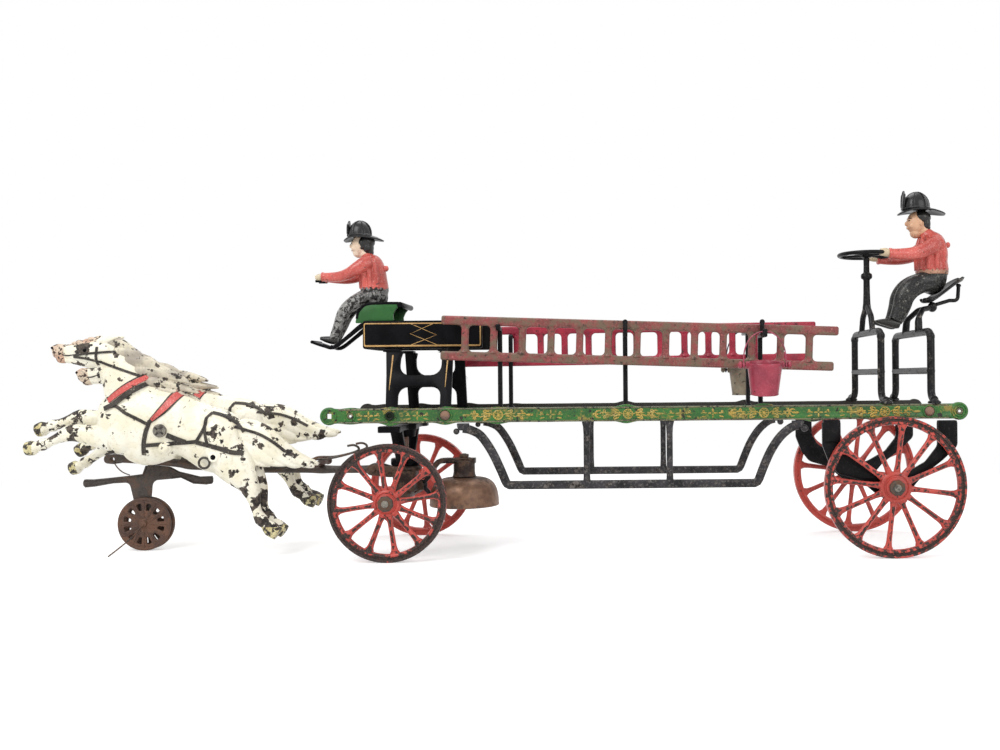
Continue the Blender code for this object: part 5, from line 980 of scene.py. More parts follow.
def spoked(cx, radius, hub, phase):
    """A cast wheel on the far side: a groove runs round its rim, its spokes swell at both ends."""
    centre, cz = (cx, WHEEL_Y, radius), radius
    inner = radius - 6.3
    face = [(inner + 0.5, 2.2), (inner + 1.2, 2.65), (radius - 4, 2.7), (radius - 3.5, 2.1), (radius - 2.4, 2.1),
            (radius - 2, 2.95), (radius - 0.5, 3.25), (radius, 2.8)]
    parts = [spun("rim", [(inner, 0)] + face + [(r, -h) for r, h in face[::-1]], centre, "Y", 84, closed=True)]
    spoke = ((hub - 2.2, 2.8, 2.3), (hub + 1.6, 2.4, 2.2), (hub + 5, 1.95, 1.95), ((hub + inner) / 2, 1.85, 1.9),
             (inner - 5.5, 2.05, 1.95), (inner - 2.4, 2.5, 2.05), (inner - 0.6, 3.5, 2.2), (inner + 1.4, 4.2, 2.3))
    for k in range(SPOKES):
        turn = radians(phase + 360 * k / SPOKES)
        parts.append(drawn("spoke", [(cx + r * cos(turn), cz + r * sin(turn), a, b) for r, a, b in spoke],
                           14, y=WHEEL_Y))
    parts.append(spun("hub", [(3.3, 4.4), (hub * 0.6, 4.4), (hub * 0.66, 4.1), (hub * 0.7, 2.9), (hub * 0.76, 2.7),
                              (hub * 0.82, 3.2), (hub * 0.95, 3.1), (hub * 1.02, 2.5), (hub * 1.02, -2.4),
                              (hub * 0.94, -3), (hub * 0.6, -3.6), (hub * 0.52, -6.2), (3.3, -6.2)], centre, "Y", 40,
                      closed=True))
    return joined("wheel", parts)


for kind, x, radius, hub, phases in (("front_wheel", FRONT_X, FRONT_RADIUS, FRONT_HUB, (8.5, 6.5)),
                                     ("rear_wheel", REAR_X, REAR_RADIUS, REAR_HUB, (-7, -7))):
    for (prefix, side), phase in zip(SIDES, phases):
        name = f"{prefix}_{kind}"
        wheel = spoked(x, radius, hub, phase)
        fit(mirrored(wheel) if side < 0 else wheel, name + "_casting", wheel_enamels[name], name, (name,))

# Side rails with gilt scroll relief, the box with its lining, seat and frames


RAIL_Y, RAIL_Z, RAIL_HALF, RAIL_FACE, RAIL_TOP = 56, 106.8, 5.4, 58, 112.5
RAIL_FRONT, RAIL_REAR, RAIL_EYE = -123.3, 342, 6.6
ROD_AT = (-78.1, -37.4, 319.8)
EYELET_X = -107.3
SWELLS_ABOVE = ((EYELET_X, 0.8), (ROD_AT[0], 1.2), (ROD_AT[1], 1.2), (1.6, 0.5), (96.1, 1.8), (198.3, 1.8),
                (287, 0.6))
SWELLS_BELOW = ((287, 0.5), (234, 1.6), (96.1, 1.6), (1.6, 1.4), (ROD_AT[1], 1.6), (ROD_AT[0], 2.1), (EYELET_X, 0.8))


def rail_edge(swells, up):
    """One long edge, above or below, with smooth swells where something is fixed."""
    return sorted((x + step * 1.6, RAIL_Z + up * RAIL_HALF + up * rise * 0.5 * (1 + cos(pi * step / 6)))
                  for x, rise in swells for step in range(-6, 7))


def rail_outline():
    """Eye at the front, upper edge, eye at the rear and lower edge."""
    shut = asin(RAIL_HALF / RAIL_EYE) + 0.06
    sweep = 2 * pi - 2 * shut
    front, rear = ([(x + RAIL_EYE * cos(turn), RAIL_Z + RAIL_EYE * sin(turn))
                    for turn in (start - sweep * k / 20 for k in range(21))]
                   for x, start in ((RAIL_FRONT, -shut), (RAIL_REAR, pi - shut)))
    return front + rail_edge(SWELLS_ABOVE, 1) + rear + rail_edge(SWELLS_BELOW, -1)[::-1]


def curl(x, z, way, up, size, face, thick=0.62):
    """A scroll that leaves a rosette and rolls up at its end."""
    line = []
    for k in range(22):
        share = k / 21
        turn = share * 2 * pi * 1.15
        reach = size * 0.34 * (1 - 0.72 * share)
        line.append((x + way * (size * (0.15 + 0.62 * share ** 0.6) + reach * sin(turn) * 0.8), face,
                     z + up * (0.7 + reach * (1 - cos(turn)) * 0.62), 1.25 - 0.75 * share))
    return wire("scroll", line, thick, 1)


def leaf(x, z, way, lean, length, face):
    """A small pointed leaf in relief."""
    return pea("leaf", (x, face, z), (length, 0.55, length * 0.3), (0, lean * -way, 0), 12)


def relief(side):
    """Traditional scroll and leaf ornament along one rail's outer face."""
    face = side * (RAIL_FACE - 0.1)
    made = []
    for x in (1.6, 97.5, 197.8, 287):
        made += [spun("rosette_ring", ring(3.3, face, 0.55, 8), (x, 0, RAIL_Z), "Y", 28, closed=True),
                 pea("rosette_eye", (x, face, RAIL_Z), (1.5, 0.8, 1.5), segments=16)]
        made += [pea("petal", (x + 2.2 * cos(turn), face, RAIL_Z + 2.2 * sin(turn)), (0.75, 0.45, 0.55),
                     (0, -degrees(turn), 0), 8) for turn in (2 * pi * k / 8 for k in range(8))]
        for way in (-1, 1):
            for up in (-1, 1):
                made += [curl(x + way * 4.2, RAIL_Z, way, up, 10, face),
                         curl(x + way * 13, RAIL_Z, way, -up, 8, face, 0.5),
                         leaf(x + way * 8.5, RAIL_Z + up * 3.1, way, up * 20, 2.2, face)]
            made += [leaf(x + way * 23.4, RAIL_Z, way, 0, 3, face),
                     wire("stem", [(x + way * (4 + 2.2 * k), face, RAIL_Z + 1.5 * sin(k * 1.2))
                                   for k in range(9)], 0.42, 1)]
    for x in (-94, -58, 40.5, 136, 160, 238, 262):
        for turn in (0, 90, 180, 270):
            angle = radians(turn)
            made.append(pea("quarter_leaf", (x + 2 * cos(angle), face, RAIL_Z + 1.9 * sin(angle)),
                            (1.6, 0.5, 0.7), (0, -turn, 0), 10))
        for way in (-1, 1):
            made += [curl(x + way * 3.4, RAIL_Z - 0.6, way, 1, 6.4, face, 0.42),
                     leaf(x + way * 6.4, RAIL_Z - 2.4, way, -12, 2, face)]
    for x in (76, 118, 176, 219):
        made.append(wire("crescent", [(x + 2.6 * cos(a), face, RAIL_Z + 2.6 * sin(a),
                                       0.4 + sin((a - 0.9) / 4.4 * pi)) for a in
                                      [0.9 + 4.4 * k / 15 for k in range(16)]], 0.6, 1))
    return made


for prefix, side in SIDES:
    holes = [ring(RAIL_FRONT, RAIL_Z, 2.6, 4, pi / 4), ring(RAIL_REAR, RAIL_Z, 2.3, 24),
             ring(EYELET_X, RAIL_Z, 1.9, 16)] + [ring(x, RAIL_Z, 2.3, 16) for x in ROD_AT]
    bar = cutout("rail", rail_outline(), 4, "XZ", side * RAIL_Y, holes, 0.5)
    face = side * (RAIL_FACE - 0.05)
    fit([wire("lip", [(x, face, level + 0.12 * sin(x * 0.13)) for x in range(-116, 336, 3)], 0.6, 2)
         for level in (RAIL_Z + 4.75, RAIL_Z - 4.75)], prefix + "_rail_lips", lip_worn, "wagon")
    bosses = [spun("boss", ring(r, face, 0.75, 10), (x, 0, RAIL_Z), "Y", 32, closed=True)
              for x, r in ((RAIL_FRONT, 5.4), (RAIL_REAR, 5.4), (EYELET_X, 3.3), (ROD_AT[0], 4.6), (ROD_AT[0], 3.3),
                           (ROD_AT[1], 4.6), (ROD_AT[2], 4.4), (RAIL_REAR, 3.6))]
    fit([bar] + bosses, prefix + "_rail_casting", green_enamels[side], "wagon", (prefix + "_side_rail",))
    fit([spun("eyelet", ring((a + b) / 2, face, (b - a) / 2, 10), (x, 0, RAIL_Z), "Y", 28, closed=True)
         for x, a, b in ((RAIL_REAR, 1, 2.7), (EYELET_X, 0.9, 2.3))], prefix + "_rail_eyelets", lip_worn, "wagon")
    fit(relief(side), prefix + "_rail_relief", gilt_worn, "wagon")

DOMED = [(0, 59.9), (1.6, 59.8), (2.9, 59.3), (3.6, 58.35), (0, 58.35)]
HOLLOW = [(0, 58.5), (1.7, 58.5), (1.9, 59.6), (2.6, 59.9), (3.3, 59.6), (3.6, 58.35), (0, 58.35)]
# The front rod's hollow heads take a near black finish: dark iron and painted shade for their hollows.
for kind, x, head, finish in zip(("front", "middle", "rear"), ROD_AT, (HOLLOW, DOMED, DOMED),
                                 (eyelet_dark_and_hole_shade, rivet_iron, rivet_iron)):
    centre, name = (x, 0, RAIL_Z), kind + "_tie_rod"
    fit([peg("rod", 2, -58.3, 58.3, centre, "Y", 0.2)] + heads("rivet_head", head, centre, 28), name + "_riveted",
        finish, "wagon", (name,))


def board_outline(left, right, low, high, radius, steps=5):
    """A rectangle with rounded corners."""
    return rounded([(left, low, radius), (right, low, radius), (right, high, radius), (left, high, radius)], steps)


for prefix, side in SIDES:
    panel = cutout("panel", board_outline(-106, -14.1, 157.3, 178.9, 1.8), 2.4, "XZ", side * 24.8, soft=0.5)
    fit(panel, prefix + "_box_panel_board", black_enamel, "wagon", (prefix + "_box_panel",))
    outer = board_outline(-105.1, -14.9, 158.9, 177.2, 1.4)
    inner = board_outline(-104.3, -15.9, 160.2, 176.3, 1)
    face = side * 26.02
    lining = [cutout("lining", outer, 0.24, "XZ", face, (inner,), 0.06)]
    for bent in (((-52, 176.3), (-69.3, 168.8), (-49, 160.2)), ((-68.5, 176.3), (-49, 167.7), (-68.7, 160.2))):
        lining.append(cutout("chevron", strap_outline(bent, 0.5), 0.2, "XZ", face, soft=0.05))
    fit(lining, prefix + "_box_lining", lining_gold, "wagon")

tray_line = [(-104.8, 178.5), (-104.8, 158.3), (-15.3, 158.3), (-15.3, 178.5)]
tray = cutout("tray", strap_outline(tray_line, 2), 46.6, "XZ", 0, soft=0.3)
fit(tray, "box_tray", tray_enamel, "wagon", ("box_floor",))

# H frames: they lean inwards from the rails to the box
FRAME_FOOT_Y, FRAME_TOP_Y, FRAME_TOP = 42, 27, 157
LEAN = atan2(FRAME_FOOT_Y - FRAME_TOP_Y, FRAME_TOP - RAIL_Z)
SLANT = (FRAME_TOP - RAIL_Z) / cos(LEAN)
for prefix, side in SIDES:
    left, right, half, low, high, top = -80.6, -40.2, 4.2, 22, 31, SLANT - 1.6
    lean_x = -2.6 if side < 0 else 0
    outline = rounded([
        (left - half, -5, 2.5), (left + half, -5, 2.5), (left + half, low, 7), (right - half, low, 7),
        (right - half, -5, 2.5), (right + half, -5, 2.5), (right + half, top), (right - half, top),
        (right - half - 3, top - 1, 4), (right - half, top - 6, 4), (right - half, high, 8),
        (left + half, high, 8), (left + half + 0.6, top - 6, 4), (left + half + 2, top - 1), (left + half, top),
        (left - half + lean_x, top), (left - half + lean_x * 0.5, high)], 5)
    holes = [ring(x, 0, 2.3, 16) for x in ROD_AT[:2]]
    frame_piece = cutout("h_frame", outline, 3.4, "XZ", 0, holes, 0.6)
    foot = Matrix.Translation(Vector((0, side * FRAME_FOOT_Y, RAIL_Z)) * MM)
    lean_turn = foot @ Matrix.Rotation(side * LEAN, 4, "X")
    frame_piece.data.transform(lean_turn)
    flanges = [block("flange", (x - a, side * 25 - 5, FRAME_TOP - 2.2), (x + b, side * 25 + 5, FRAME_TOP), 0.5)
               for x, a, b in ((left, 9, 4), (right, 5, 9))]
    fit([frame_piece] + flanges, prefix + "_h_frame_casting", black_enamel, "wagon", (prefix + "_h_frame",))
    stripes = []
    for x, first, last in ((left + 0.2 + lean_x * 0.7, 19, 47), (right + 0.2, 21, 47)):
        line = ((x - 0.9, first, 0.3), (x - 0.5, first + 8, 0.8), (x, (first + last) / 2 + 4, 1),
                (x + 0.5, last, 1.2))
        stripe = cutout("stripe", strap_outline(line, 1), 0.2, "XZ", side * 1.74, soft=0.05)
        stripe.data.transform(lean_turn)
        stripes.append(stripe)
    fit(stripes, prefix + "_h_frame_stripes", lining_gold, "wagon")

cheek_line = rounded([(-113.4, 177.6, 1), (-106.3, 177.6), (-106.3, 179.2), (-83.4, 179.2, 0.8), (-83.9, 184, 2),
                      (-82.2, 187.6, 1.5), (-80.2, 190, 1), (-81, 192.6), (-104, 192.4, 5),
                      (-111.4, 187, 5)], 5)
cheeks = [cutout("cheek", cheek_line, 2.4, "XZ", side * 18.5, soft=0.5) for side in (-1, 1)]
fit(cheeks, "driver_seat_cheeks", seat_enamel, "wagon", ("driver_seat",))
plank_line = flowing([(-112, 181), (-110.6, 186.6), (-104.6, 192), (-92, 192.9), (-80, 192.9)], 5)
plank = [cutout("plank", strap_outline(plank_line, 2.1), 40, "XZ", 0),
         peg("roll", 2.2, -20.4, 20.4, (-78.4, 0, 191.7), "Y", 0.5)]
plank += [peg("roll_eye", 1, side * 20.2, side * 20.7, (-78.4, 0, 191.7), "Y", 0.2) for side in (-1, 1)]
fit(plank, "driver_seat_plank", black_enamel, "wagon")

toe = flowing([(-134.2, 159.2), (-137.4, 159.4), (-143, 161), (-150, 163.6)], 4)
board = [cutout("toe_board", strap_outline(toe, 2), 24, "XZ", 0, soft=0.5),
         peg("toe_bead", 1.3, -12, 12, (-149.4, 0, 163.6), "Y", 0.3)]
arm_line = flowing([(-106.3, 176.6, 4.2), (-111, 175.8, 3.8), (-122, 167, 3), (-133, 159.2, 3),
                    (-141, 161, 2.4)], 4)
board += [cutout("arm", strap_outline(arm_line, 3), 2.6, "XZ", side * 10.4, soft=0.5) for side in (-1, 1)]
fit(board, "footboard_casting", black_enamel, "wagon", ("footboard",))

# Truss bars, racks, the two stands, the steering ring and the dished seat


def bent(corners, radius, steps=5):
    """A line in space whose inner corners become arcs."""
    line = [Vector(corners[0])]
    for k in range(1, len(corners) - 1):
        here = Vector(corners[k])
        back = (Vector(corners[k - 1]) - here).normalized()
        ahead = (Vector(corners[k + 1]) - here).normalized()
        half = back.angle(ahead) / 2
        reach = radius / tan(half)
        centre = here + (back + ahead).normalized() * (radius / sin(half))
        start, end = (here + back * reach - centre).normalized(), (here + ahead * reach - centre).normalized()
        for i in range(steps + 1):
            line.append(centre + start.slerp(end, i / steps) * radius)
    return [tuple(p) for p in line + [Vector(corners[-1])]]


def flattened(piece, y, share):
    """Squeezes a piece's width about a plane."""
    pick(piece)
    bpy.ops.object.mode_set(mode="EDIT")
    bpy.ops.mesh.select_all(action="SELECT")
    bpy.ops.transform.resize(value=(1, share, 1), center_override=(0, y * MM, 0))
    bpy.ops.object.mode_set(mode="OBJECT")
    return piece


for prefix, side in SIDES:
    y = side * RAIL_Y
    line = flowing([(-24.5, y, 97), (-18.4, y, 95.6), (-11.2, y, 91.2), (-3.4, y, 79.8), (2.6, y, 67.2),
                    (6.6, y, 57.6)], 5)
    line += [(7.6, y, 55.8), (9.6, y, 54.8), (66, y, 54.8), (128, y, 54.8), (190.6, y, 54.8), (192.8, y, 55.9)]
    line += flowing([(194, y, 58), (198.6, y, 69.6), (203.4, y, 79.6), (210, y, 89), (217.6, y, 95.4),
                     (223, y, 97.2)], 5)
    pieces = [flattened(wire("bar", line, 3.3, 5), y, 4.2 / 6.6)]
    for x in (66.7, 128.1):
        strut = [(x, y, 54.8, 1.25), (x, y, 58.6, 1.05), (x, y, 66, 0.92), (x, y, 92, 0.92), (x, y, 97.5, 1.05),
                 (x, y, 101.2, 1.4)]
        pieces += [flattened(wire("strut", strut, 2.5, 5), y, 0.8),
                   pea("foot_swell", (x, y, 55.2), (4.4, 2, 3.4), segments=16)]
    for x, z, length in ((-24.5, 96.2, 2.3), (223, 96.4, 2.7)):
        way = copysign(1, x)
        foot = rounded([(x - 3.6, z - 0.6, 1.2), (x + 3.6, z - 0.6, 1.2), (x + 4.6, 100.8, 0.6),
                        (x - 4.6, 100.8, 0.6)])
        pieces += [cutout("foot", foot, 4.2, "XZ", y, soft=0.5),
                   pea("ball", (x + 5 * way, y, z - 1.4), (length, length * 0.95, length), segments=18)]
    fit(pieces, prefix + "_truss_bar", truss_enamel, "wagon", (prefix + "_truss",), 50)


# The ladders lie in the racks' hooks, each with its front end at its own height and with its own slope in degrees
LADDER_FRONT, LADDER_LONG, LADDER_HIGH, LADDER_BAR, RUNG = -41.6, 298, 33.4, 6.8, 5.4
LADDER_TOP, LADDER_SLOPE = {-1: 181.4, 1: 177}, {-1: 2.1, 1: -0.45}
HOOK_GAP, PEG_DROP, PEG_HIGH, FAR_RISE = 0.3, 3, 2.6, 3.2


def hook_level(side, x):
    """The bearing height of a hook, just under the ladder's upper rail."""
    lean = radians(LADDER_SLOPE[side])
    if side > 0:
        return LADDER_TOP[side] - LADDER_BAR - HOOK_GAP - (x - LADDER_FRONT) * tan(lean)
    return LADDER_TOP[side] - LADDER_BAR / cos(lean) - (x - LADDER_FRONT + 1.5) * tan(lean) - HOOK_GAP


def rack_half(side, x, with_peg, rise, deep):
    """One side of a rack: from the bar's end up the post, out along the hook to its lip and back."""
    floor = hook_level(side, x)
    low = floor - PEG_DROP
    line = [(53.7, 104.4), (53.7, 109, 0.8), (39, 109, 4), (38.6, 150), (39, low - deep * 0.6, 2)]
    if with_peg:
        line += [(65, low, 1.2), (65, low + 6, 1), (62.8, low + 6, 1), (62.8, low + PEG_HIGH, 1),
                 (50.65, low + PEG_HIGH, 1)]
    else:
        line += [(50.65, low - deep, 3)]
    line += [(50.65, floor + rise, 1.2), (48.2, floor + rise + 0.2, 1), (47.85, floor, 0.5), (35, floor, 2.5),
             (35.4, 150), (35, 109, 4)]
    return [(side * p[0], *p[1:]) for p in line]


for name, near_rise, deep in (("front_rack", 1.6, 0), ("middle_rack", 5.6, 2.9), ("rear_rack", 8.6, 0)):
    x, with_peg = RACK_X[name], name == "rear_rack"
    near, far = rack_half(-1, x, with_peg, near_rise, deep), rack_half(1, x, with_peg, FAR_RISE, deep)
    pieces = [cutout("rack", rounded(far + near[::-1], 5), 3.4, "YZ", x, soft=0.6)]
    pieces += [pea("foot", (x, side * 37, 108.8), (3.6, 4.6, 2.8), segments=14) for side in (-1, 1)]
    if near_rise > 5:
        top = hook_level(-1, x) + near_rise
        pieces += [spun("hook_curl", ring(1.1, -50, 0.9, 10), (x, 0, top + 0.2), "Y", 22, closed=True),
                   wire("hook_front", [(x, -51.2, top + 0.4, 0.8), (x, -51.8, top - 3), (x, -51.7, top - 8),
                                       (x, -50.8, top - 11, 0.7)], 1.1, 3)]
    fit(pieces, name + "_casting", strap_black, "wagon", (name,))


def arch(x, half, top, bar_level, radius):
    """A bent bar whose feet turn out onto the rails, with a cross bar between swollen joints."""
    foot = RAIL_TOP + radius
    line = [(x, -RAIL_Y, foot), (x, -half, foot + 1), (x, -half, top - radius), (x, half, top - radius),
            (x, half, foot + 1), (x, RAIL_Y, foot)]
    cross = [(x, y, bar_level, share) for y, share in ((-half, 1.25), (-half + 4, 1.1), (-half + 9, 1),
                                                       (half - 9, 1), (half - 4, 1.1), (half, 1.25))]
    pad = [(0, 0), (4.6, 0), (4.9, 0.5), (4.6, 1.4), (3.2, 2.4), (2.4, 3.6), (0, 4.4)]
    pieces = [wire("arch", bent(line, 7, 6), radius, 5), wire("cross_bar", cross, radius - 0.3, 4)]
    for side in (-1, 1):
        pieces += [spun("pad", pad, (x, side * 55.6, RAIL_TOP + 0.02), "Z", 24),
                   pea("knee", (x, side * half, top - radius - 4), (3.1, 3.1, 4), segments=14)]
    return pieces


STAND_X, SEAT_X = 288.6, 324.3
pieces = arch(STAND_X, 42, 170, 136.4, 2.7)
for side in (-1, 1):
    prong = bent([(STAND_X, side * 18, 166.6), (STAND_X, side * 13, 180), (STAND_X, side * 1, 189)], 6)
    pieces += [wire("prong", prong, 2.3, 4), pea("root", (STAND_X, side * 18, 168), (3, 4.4, 2.8), segments=14)]
column = [
    (0, 233.2), (1.6, 233.1), (2.5, 232.7), (2.8, 231.95), (1.4, 231.95), (1.4, 226.9), (2.4, 226.9),
    (2.3, 221), (2.4, 215.6), (3, 214.9), (4.2, 214.1), (4.5, 212.4), (4.2, 210.8), (3, 210), (2.5, 209.2),
    (2.6, 200), (2.9, 191), (3.4, 187), (2.2, 184.8), (0, 184.2)]
pieces.append(spun("column", column, (STAND_X, 0, 0), "Z", 28))
fit(pieces, "steering_stand_casting", stand_enamel, "wagon", ("steering_stand",), 50)

pieces = [spun("ring", ring(21.2, 229.4, 1.6, 14), (STAND_X, 0, 0), "Z", 64, closed=True),
          spun("hub", [(1.75, 231.6), (3.6, 231.6), (4.3, 230.8), (4.7, 229.4), (4.3, 228), (3.6, 227.2),
                       (1.75, 227.2)], (STAND_X, 0, 0), "Z", 36, closed=True)]
for k in range(4):
    turn = radians(45 + 90 * k)
    line = [(STAND_X + r * cos(turn), r * sin(turn), 229.4, share)
            for r, share in ((3.6, 1.5), (6, 1.15), (12, 1), (17.5, 1.1), (20.8, 1.45))]
    pieces.append(wire("arm", line, 1.1, 4))
fit(pieces, "steering_ring", strap_black, "steering_wheel", ("steering_wheel",), 50)

pieces = arch(SEAT_X, 48, 169.2, 136.8, 2.9)
for side in (-1, 1):
    line = bent([(SEAT_X, side * 18, 166.2), (SEAT_X + 0.6, side * 16, 178), (SEAT_X + 7, side * 6, 185.5),
                 (SEAT_X + 16, 0, 187.2)], 7)
    pieces += [wire("leg", [(*p, 1.25 - 0.35 * min(1, k / 6)) for k, p in enumerate(line)], 2.4, 5),
               pea("root", (SEAT_X, side * 18, 167.4), (3.1, 4.6, 2.9), segments=14)]
brace = bent([(SEAT_X + 16, 0, 188.6), (SEAT_X + 30, 0, 192.6), (SEAT_X + 36.6, 0, 192.6),
              (SEAT_X + 37.4, 0, 204.6)], 3, 6)
pieces += [pea("ball", (SEAT_X + 16.4, 0, 187.6), (3.7, 3.7, 4.1), segments=22), wire("brace", brace, 1.5, 4),
           pea("brace_end", (SEAT_X + 37.4, 0, 204.4), (2, 2.6, 1.6), segments=12)]
fit(pieces, "seat_stand_casting", stand_enamel, "wagon", ("seat_stand",), 50)

# The dished seat is a thin shell: its stations give place along X, height and half width
SEAT_DISH = flowing(((-1.2, 192.6, 4), (1, 192.2, 8.6), (6, 193, 12.2), (13.5, 198.2, 14.4), (22, 204.6, 13.6),
                     (28, 208.2, 10), (30, 209.2, 5)), 4)
fresh()
bpy.ops.mesh.primitive_grid_add(x_subdivisions=len(SEAT_DISH) - 1, y_subdivisions=16, size=1)
dish = bpy.context.object
columns = sorted({round(v.co.x, 5) for v in dish.data.vertices})
for vertex in dish.data.vertices:
    x, z, half = SEAT_DISH[columns.index(round(vertex.co.x, 5))]
    across = vertex.co.y * 2
    vertex.co = Vector((SEAT_X + 9.5 + x, half * across, z - 0.6 + 2.4 * across * across)) * MM
shaped(dish, "SOLIDIFY", thickness=2 * MM, offset=0)
outwards(dish)
shaped(dish, "BEVEL", width=0.5 * MM, segments=2, limit_method="ANGLE", angle_limit=radians(55))
rivet = pea("seat_rivet", (SEAT_X + 16.4, 0, 193.6), (2.6, 2.6, 1.3), segments=16)
fit([dish, rivet], "tiller_seat_dish", stand_enamel, "wagon", ("tiller_seat",), 50)

# Cast ladders with softened openings


def ladder(name, side, finish, start, rest):
    """Two long rails with thirteen rungs cast between them, drawn level and then tilted into its hooks.

    start and rest are how far the first and the last rung lie from the ends.
    """
    step = (LADDER_LONG - start - rest) / 12
    first, last = start - RUNG / 2, start + 12 * step + RUNG / 2
    high, low = -LADDER_BAR, LADDER_BAR - LADDER_HIGH
    end = LADDER_LONG
    outline = [(0, 0, 1.6), (0, high, 1.8), (first, high, 3), (first, low, 3), (0, low, 1.8),
               (0, -LADDER_HIGH, 1.6), (end - 3, -LADDER_HIGH, 1.6), (end - 3, low, 1.8), (last, low, 3),
               (last, high, 3), (end, high, 1.8), (end, 0, 1.6)]
    holes = []
    for k in range(12):
        left = start + k * step + RUNG / 2
        right = left + step - RUNG
        holes.append(rounded([(left, high, 3.2), (right, high, 3.2), (right, low, 3.2), (left, low, 3.2)], 5))
    pieces = [cutout("ladder", rounded(outline, 5), 4.5, "XZ", 0, holes, 1.5, 3)]
    swells = ((high + 0.6, 1.5), (high - 1.6, 1.02), (high - 4, 0.92), (low + 4, 0.92), (low + 1.6, 1.02),
              (low - 0.6, 1.5))
    for k in range(13):
        rung = [(start + k * step, 0, z, share) for z, share in swells]
        pieces.append(flattened(wire("rung", rung, 2.5, 4), 0, 0.92))
    piece = joined(name, pieces)
    piece.data.transform(Matrix.Translation(Vector((LADDER_FRONT, side * 45, LADDER_TOP[side])) * MM)
                         @ Matrix.Rotation(radians(LADDER_SLOPE[side]), 4, "Y"))
    fit(piece, name + "_casting", finish, name, (name,), 50)


ladder("near_ladder", -1, near_ladder_enamel, 18, 21.7)
ladder("far_ladder", 1, far_ladder_enamel, 26.6, 29.8)

# Bell, its bracket, bolt and hammer; buckets and their bails

BELL_X = -32.7
outer = flowing(((2.3, 55.6), (10, 55.55), (17, 54.7), (22.4, 51.6), (25.6, 46.4), (27, 40), (27.3, 35.4)), 4)
inner = flowing(((25.7, 35.4), (25.3, 40), (23.9, 45.8), (20.9, 50.2), (16.2, 53), (10, 53.8), (2.3, 53.8)), 4)
lip = [(27.5, 34.4), (27.4, 33.7), (26.9, 33.4), (26.2, 33.5), (25.8, 34.2)]
fit(spun("bell", outer + lip + inner, (BELL_X, 0, 0), "Z", 64, closed=True), "bell_gong", bell_copper, "front_truck",
    ("bell",), 50)

bracket_line = flowing([(-69.8, 55), (-64, 57.2), (-59, 60.6), (-54.6, 66.4), (-50, 68.8), (-36, 68.8),
                        (-23.8, 68.8)], 4)
drum = [(2.3, 55.95), (8.8, 55.95), (9.3, 56.5), (8.8, 57.6), (8.4, 60), (8.4, 66), (8.8, 68), (8, 68.8), (2.3, 68.8)]
pieces = [cutout("strap", strap_outline(bracket_line, 4), 9, "XZ", 0, soft=0.7),
          spun("drum", drum, (BELL_X, 0, 0), "Z", 40, closed=True),
          pea("boss", (BELL_X, 0, 70.3), (6.8, 5.2, 1.3), segments=24)]
fit(pieces, "bell_bracket_casting", rusty_iron, "front_truck", ("bell_bracket",), 50)

pieces = [peg("shank", 1.9, 51.4, 74.4, (BELL_X, 0, 0), "Z", 0.4, 20),
          peg("nut", 4, 71.4, 73.9, (BELL_X, 0, 0), "Z", 0.5, 6),
          spun("low_head", [(0, 50.8), (2.4, 51), (3.9, 51.8), (4.4, 53.2), (0, 53.4)], (BELL_X, 0, 0), "Z", 28)]
fit(pieces, "bell_bolt_and_nut", nut_iron, "front_truck", ("bell_bolt",))

HAMMER_X, HAMMER_Y, HAMMER_Z = -68.9, 14.6, 48.4
lever = [
    (HAMMER_X + 8, HAMMER_Z + 8.6, 2.6), (HAMMER_X + 3.6, HAMMER_Z + 4.4, 3.2), (HAMMER_X, HAMMER_Z, 3.8),
    (HAMMER_X + 3.4, HAMMER_Z - 4.4, 3.2), (HAMMER_X + 7.4, HAMMER_Z - 8.8, 3.4)]
pieces = [cutout("lever", strap_outline(lever, 3.4), 2.6, "XZ", HAMMER_Y, soft=0.5),
          spun("eye", [(1.95, -1.2), (3.4, -1.2), (3.9, -0.7), (3.9, 0.7), (3.4, 1.2), (1.95, 1.2)],
               (HAMMER_X, HAMMER_Y, HAMMER_Z), "Y", 28, closed=True),
          pea("knob", (HAMMER_X + 7.6, HAMMER_Y, HAMMER_Z - 9.2), (2.4, 2.4, 2.8), segments=20)]
fit(pieces, "bell_hammer_lever", dark_iron, "bell_hammer", ("bell_hammer",), 50)


